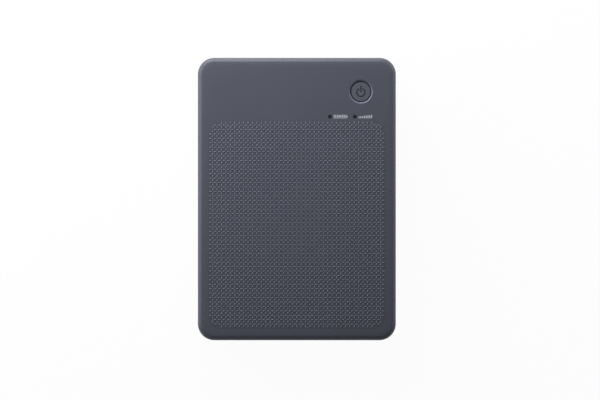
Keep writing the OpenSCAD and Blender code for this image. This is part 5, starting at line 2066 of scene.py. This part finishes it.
@dataclass
class Finishes:
    """Materials of the CAD nodes, also of the four spring nodes that coils stand for."""

    by_finish: dict[Finish, tuple[str, ...]] = field(default_factory=lambda: {
        CASE_PLASTIC: ("base_case", "open_lever"),
        BUTTON_PLASTIC: ("power_button",),
        FOOT_RUBBER: ("rubber_feet",),
        TURNED_STEEL: ("hinge_pins", "gear_studs", "platen_shaft", "pickup_shaft"),
        GRIT_STEEL: ("capstan_roller",),
        INNER_PLASTIC: ("paper_tray", "frame_bridge"),
        ROLLED_STEEL: ("left_side_frame", "right_side_frame", "latch_hook", "lid_catch",
                       "head_carrier", "head_bracket", "lift_plate", "drive_motor", "shield_can"),
        SPRING_STEEL: ("lever_spring", "lift_springs", "head_springs", "button_spring",
                       "frame_screws", "board_screws", "lid_screws"),
        BLACK_SCREW: ("case_screws",),
        ALUMINIUM: ("head_heatsink",),
        BRASS: ("motor_pinion",),
        BRONZE: ("shaft_bushes",),
        POUCH: ("battery_pack",),
        BOARD: ("main_board", "button_board"),
        CHIP: ("board_chips",),
        MODULE_CAN: ("wireless_module",),
        IVORY_PLASTIC: ("board_connectors", "button_board_parts"),
        CASSETTE_PLASTIC: ("cassette_lower_shell", "cassette_upper_shell"),
        ROLLER_RUBBER: ("platen_roller", "pinch_roller"),
        GEAR_RESIN: ("platen_gear", "capstan_gear", "pickup_gear", "takeup_gear", "idler_gear_1",
                     "idler_gear_2", "idler_gear_3", "idler_gear_4"),
        SPOOL_PLASTIC: ("takeup_spool",),
        PHOTO_PAPER: ("paper_stack",),
        LENS: ("lamp_lenses",),
    })
    film_change: float = 2.0
    core_r: float = 1.6
    lead_split: float = 20.0

    def placed(self) -> dict[Finish, tuple[str, ...]]:
        """Makes the finishes that follow a place in the frame.

        Returns:
            Node names by finish.
        """
        platen_y, spool = middle_mm("platen_roller").y, middle_mm("supply_spool")
        return {
            RibbonFilm("ribbon_film", srgb(118, 22, 60), srgb(150, 124, 18),
                       platen_y + self.film_change): ("ribbon_web",),
            RibbonRoll("ribbon_roll", srgb(58, 18, 34), srgb(210, 210, 204), spool.y, spool.z,
                       self.core_r): ("supply_spool",),
            Ceramic("head_ceramic", platen_y): ("thermal_head",),
            LeadSheath("lead_sheath", srgb(168, 30, 28), srgb(26, 26, 28),
                       self.lead_split): ("wiring_leads",),
        }

    def dress(self, case: bpy.types.Material) -> None:
        """Gives every CAD node its material through its slots.

        Args:
            case: the base's material, which the trim already shares.
        """
        for surface, nodes in (self.by_finish | self.placed()).items():
            made = case if surface is CASE_PLASTIC else surface.material()
            for name in nodes:
                node = frame["nodes"][name]
                if not node.material_slots:
                    node.data.materials.append(made)
                for held in node.material_slots:
                    held.material = made
                log.info("%s dressed in %s", name, made.name)


@dataclass
class Studio:
    """Plain pale floor, soft lights and a camera straight above the lid."""

    focal: float = 200.0
    sensor: float = 36.0
    frame_w: float = 309.3
    look: Pair = (1.63, -0.49)
    sight_m: float = 20.0
    room_r: float = 2600.0
    room_sides: int = 96
    wall_h: float = 1200.0
    rim_share: float = 0.9
    sweep_share: float = 0.3
    sweep_steps: int = 8
    smooth: float = 40.0
    floor_tones: Pair = (0.84, 0.88)
    floor_share: float = 0.96
    ambient: float = 0.15
    lamp_size: float = 260.0
    lamp_target: Point = (0, 0, 20)
    lamps: tuple[tuple[str, Point, float], ...] = (
        ("back_softbox", (-90, 325, 165), 1.78),
        ("left_softbox", (-420, 110, 190), 1.4),
        ("right_softbox", (400, 190, 100), 0.85),
    )

    def build(self) -> None:
        """Sets the stage."""
        floor = self.floor()
        floor.data.materials.append(self.floor_paper())
        self.light_room()
        for name, place, power in self.lamps:
            self.light(name, place, power)
        self.aim_camera()

    def floor(self) -> Piece:
        """Models the floor sheet, swept up at its rim as a backdrop.

        Returns:
            The sheet.
        """
        floor = Bench.disc("floor_sheet", (0, 0, self.wall_h), self.room_r, self.room_sides)
        Bench.edit(floor)
        Bench.raise_by(z=-self.wall_h)
        Bench.pick("FACE", lambda at, way: at.z > self.wall_h - NEAR and abs(way.z) > LEAN)
        bpy.ops.mesh.delete(type="FACE")
        rim_r = self.room_r * self.rim_share
        Bench.pick("EDGE", lambda at, _way: at.z < NEAR and at.xy.length > rim_r)
        Bench.round_off(self.room_r * self.sweep_share, self.sweep_steps)
        Bench.turn_faces(inside=True)
        Bench.done()
        Bench.smooth(floor, self.smooth)
        return floor

    def floor_paper(self) -> bpy.types.Material:
        """Builds the floor's finish, which is seen as near white and still takes a shadow.

        Returns:
            The material.
        """
        graph = Graph("floor_paper")
        seen = graph.node("ShaderNodeLightPath", {}, {})
        shine = graph.node("ShaderNodeEmission", {}, {"Color": (1.0, 1.0, 1.0), "Strength": 1.0})
        darkest, lightest = ((tone, tone, tone) for tone in self.floor_tones)
        graph.feed(Base_Color=graph.mix(darkest, lightest, graph.noise(60, 2)), Roughness=0.9)
        camera, glossy, transmission = (Value(graph, seen.outputs[f"Is {kind} Ray"])
                                        for kind in ("Camera", "Glossy", "Transmission"))
        share = (camera + glossy + transmission).clipped() * self.floor_share
        shaders = {0: share, 1: graph.surface.outputs[0], 2: shine.outputs[0]}
        both = graph.node("ShaderNodeMixShader", {}, shaders)
        graph.plug(graph.output.inputs["Surface"], both.outputs[0])
        return graph.material

    def light_room(self) -> None:
        """Lights the room evenly and faintly."""
        world = bpy.data.worlds.new("room")
        world.use_nodes = True
        inputs = world.node_tree.nodes["Background"].inputs
        inputs["Color"].default_value = (1, 1, 1, 1)
        inputs["Strength"].default_value = self.ambient
        bpy.context.scene.world = world

    def light(self, name: str, place: Point, power: float) -> None:
        """Adds a square softbox that faces the lid.

        Args:
            name: its name.
            place: its middle.
            power: its power in watts.
        """
        lamp = bpy.data.lights.new(name, "AREA")
        lamp.size = self.lamp_size * MM
        lamp.energy = power
        held = bpy.data.objects.new(name, lamp)
        bpy.context.scene.collection.objects.link(held)
        held.location = Vector(place) * MM
        way = Vector(self.lamp_target) - Vector(place)
        held.rotation_euler = way.to_track_quat("-Z", "Y").to_euler()

    def aim_camera(self) -> None:
        """Hangs the camera so that the lid's top fills its share of the frame."""
        lens = bpy.data.cameras.new("camera")
        lens.lens = self.focal
        lens.sensor_width = self.sensor
        lens.clip_end = self.sight_m
        held = bpy.data.objects.new("camera", lens)
        bpy.context.scene.collection.objects.link(held)
        top = CAD_BOX[1][2] / MM
        held.location = Vector((*self.look, top + self.frame_w * self.focal / self.sensor)) * MM
        bpy.context.scene.camera = held


def main() -> None:
    """Builds the printer's pieces, dresses the frame and sets the studio."""
    logging.basicConfig(level=logging.INFO, format="%(name)s: %(message)s")
    bpy.context.scene.view_settings.view_transform = "Standard"
    Studio().build()
    case = CASE_PLASTIC.material()
    lid_surface = LID_PLASTIC.material()
    Lid().build(lid_surface)
    LidInside().build(lid_surface)
    BaseInside().build(case)
    PickupTyres().build()
    ShaftClips().build()
    CassetteDetail().build()
    Underside().build()
    Electronics().build()
    ChargingPort().build(case)
    spring_steel = SPRING_STEEL.material()
    for spring in SPRINGS:
        spring.build(spring_steel)
    Controls().build()
    Finishes().dress(case)


if __name__ == "__main__":
    main()
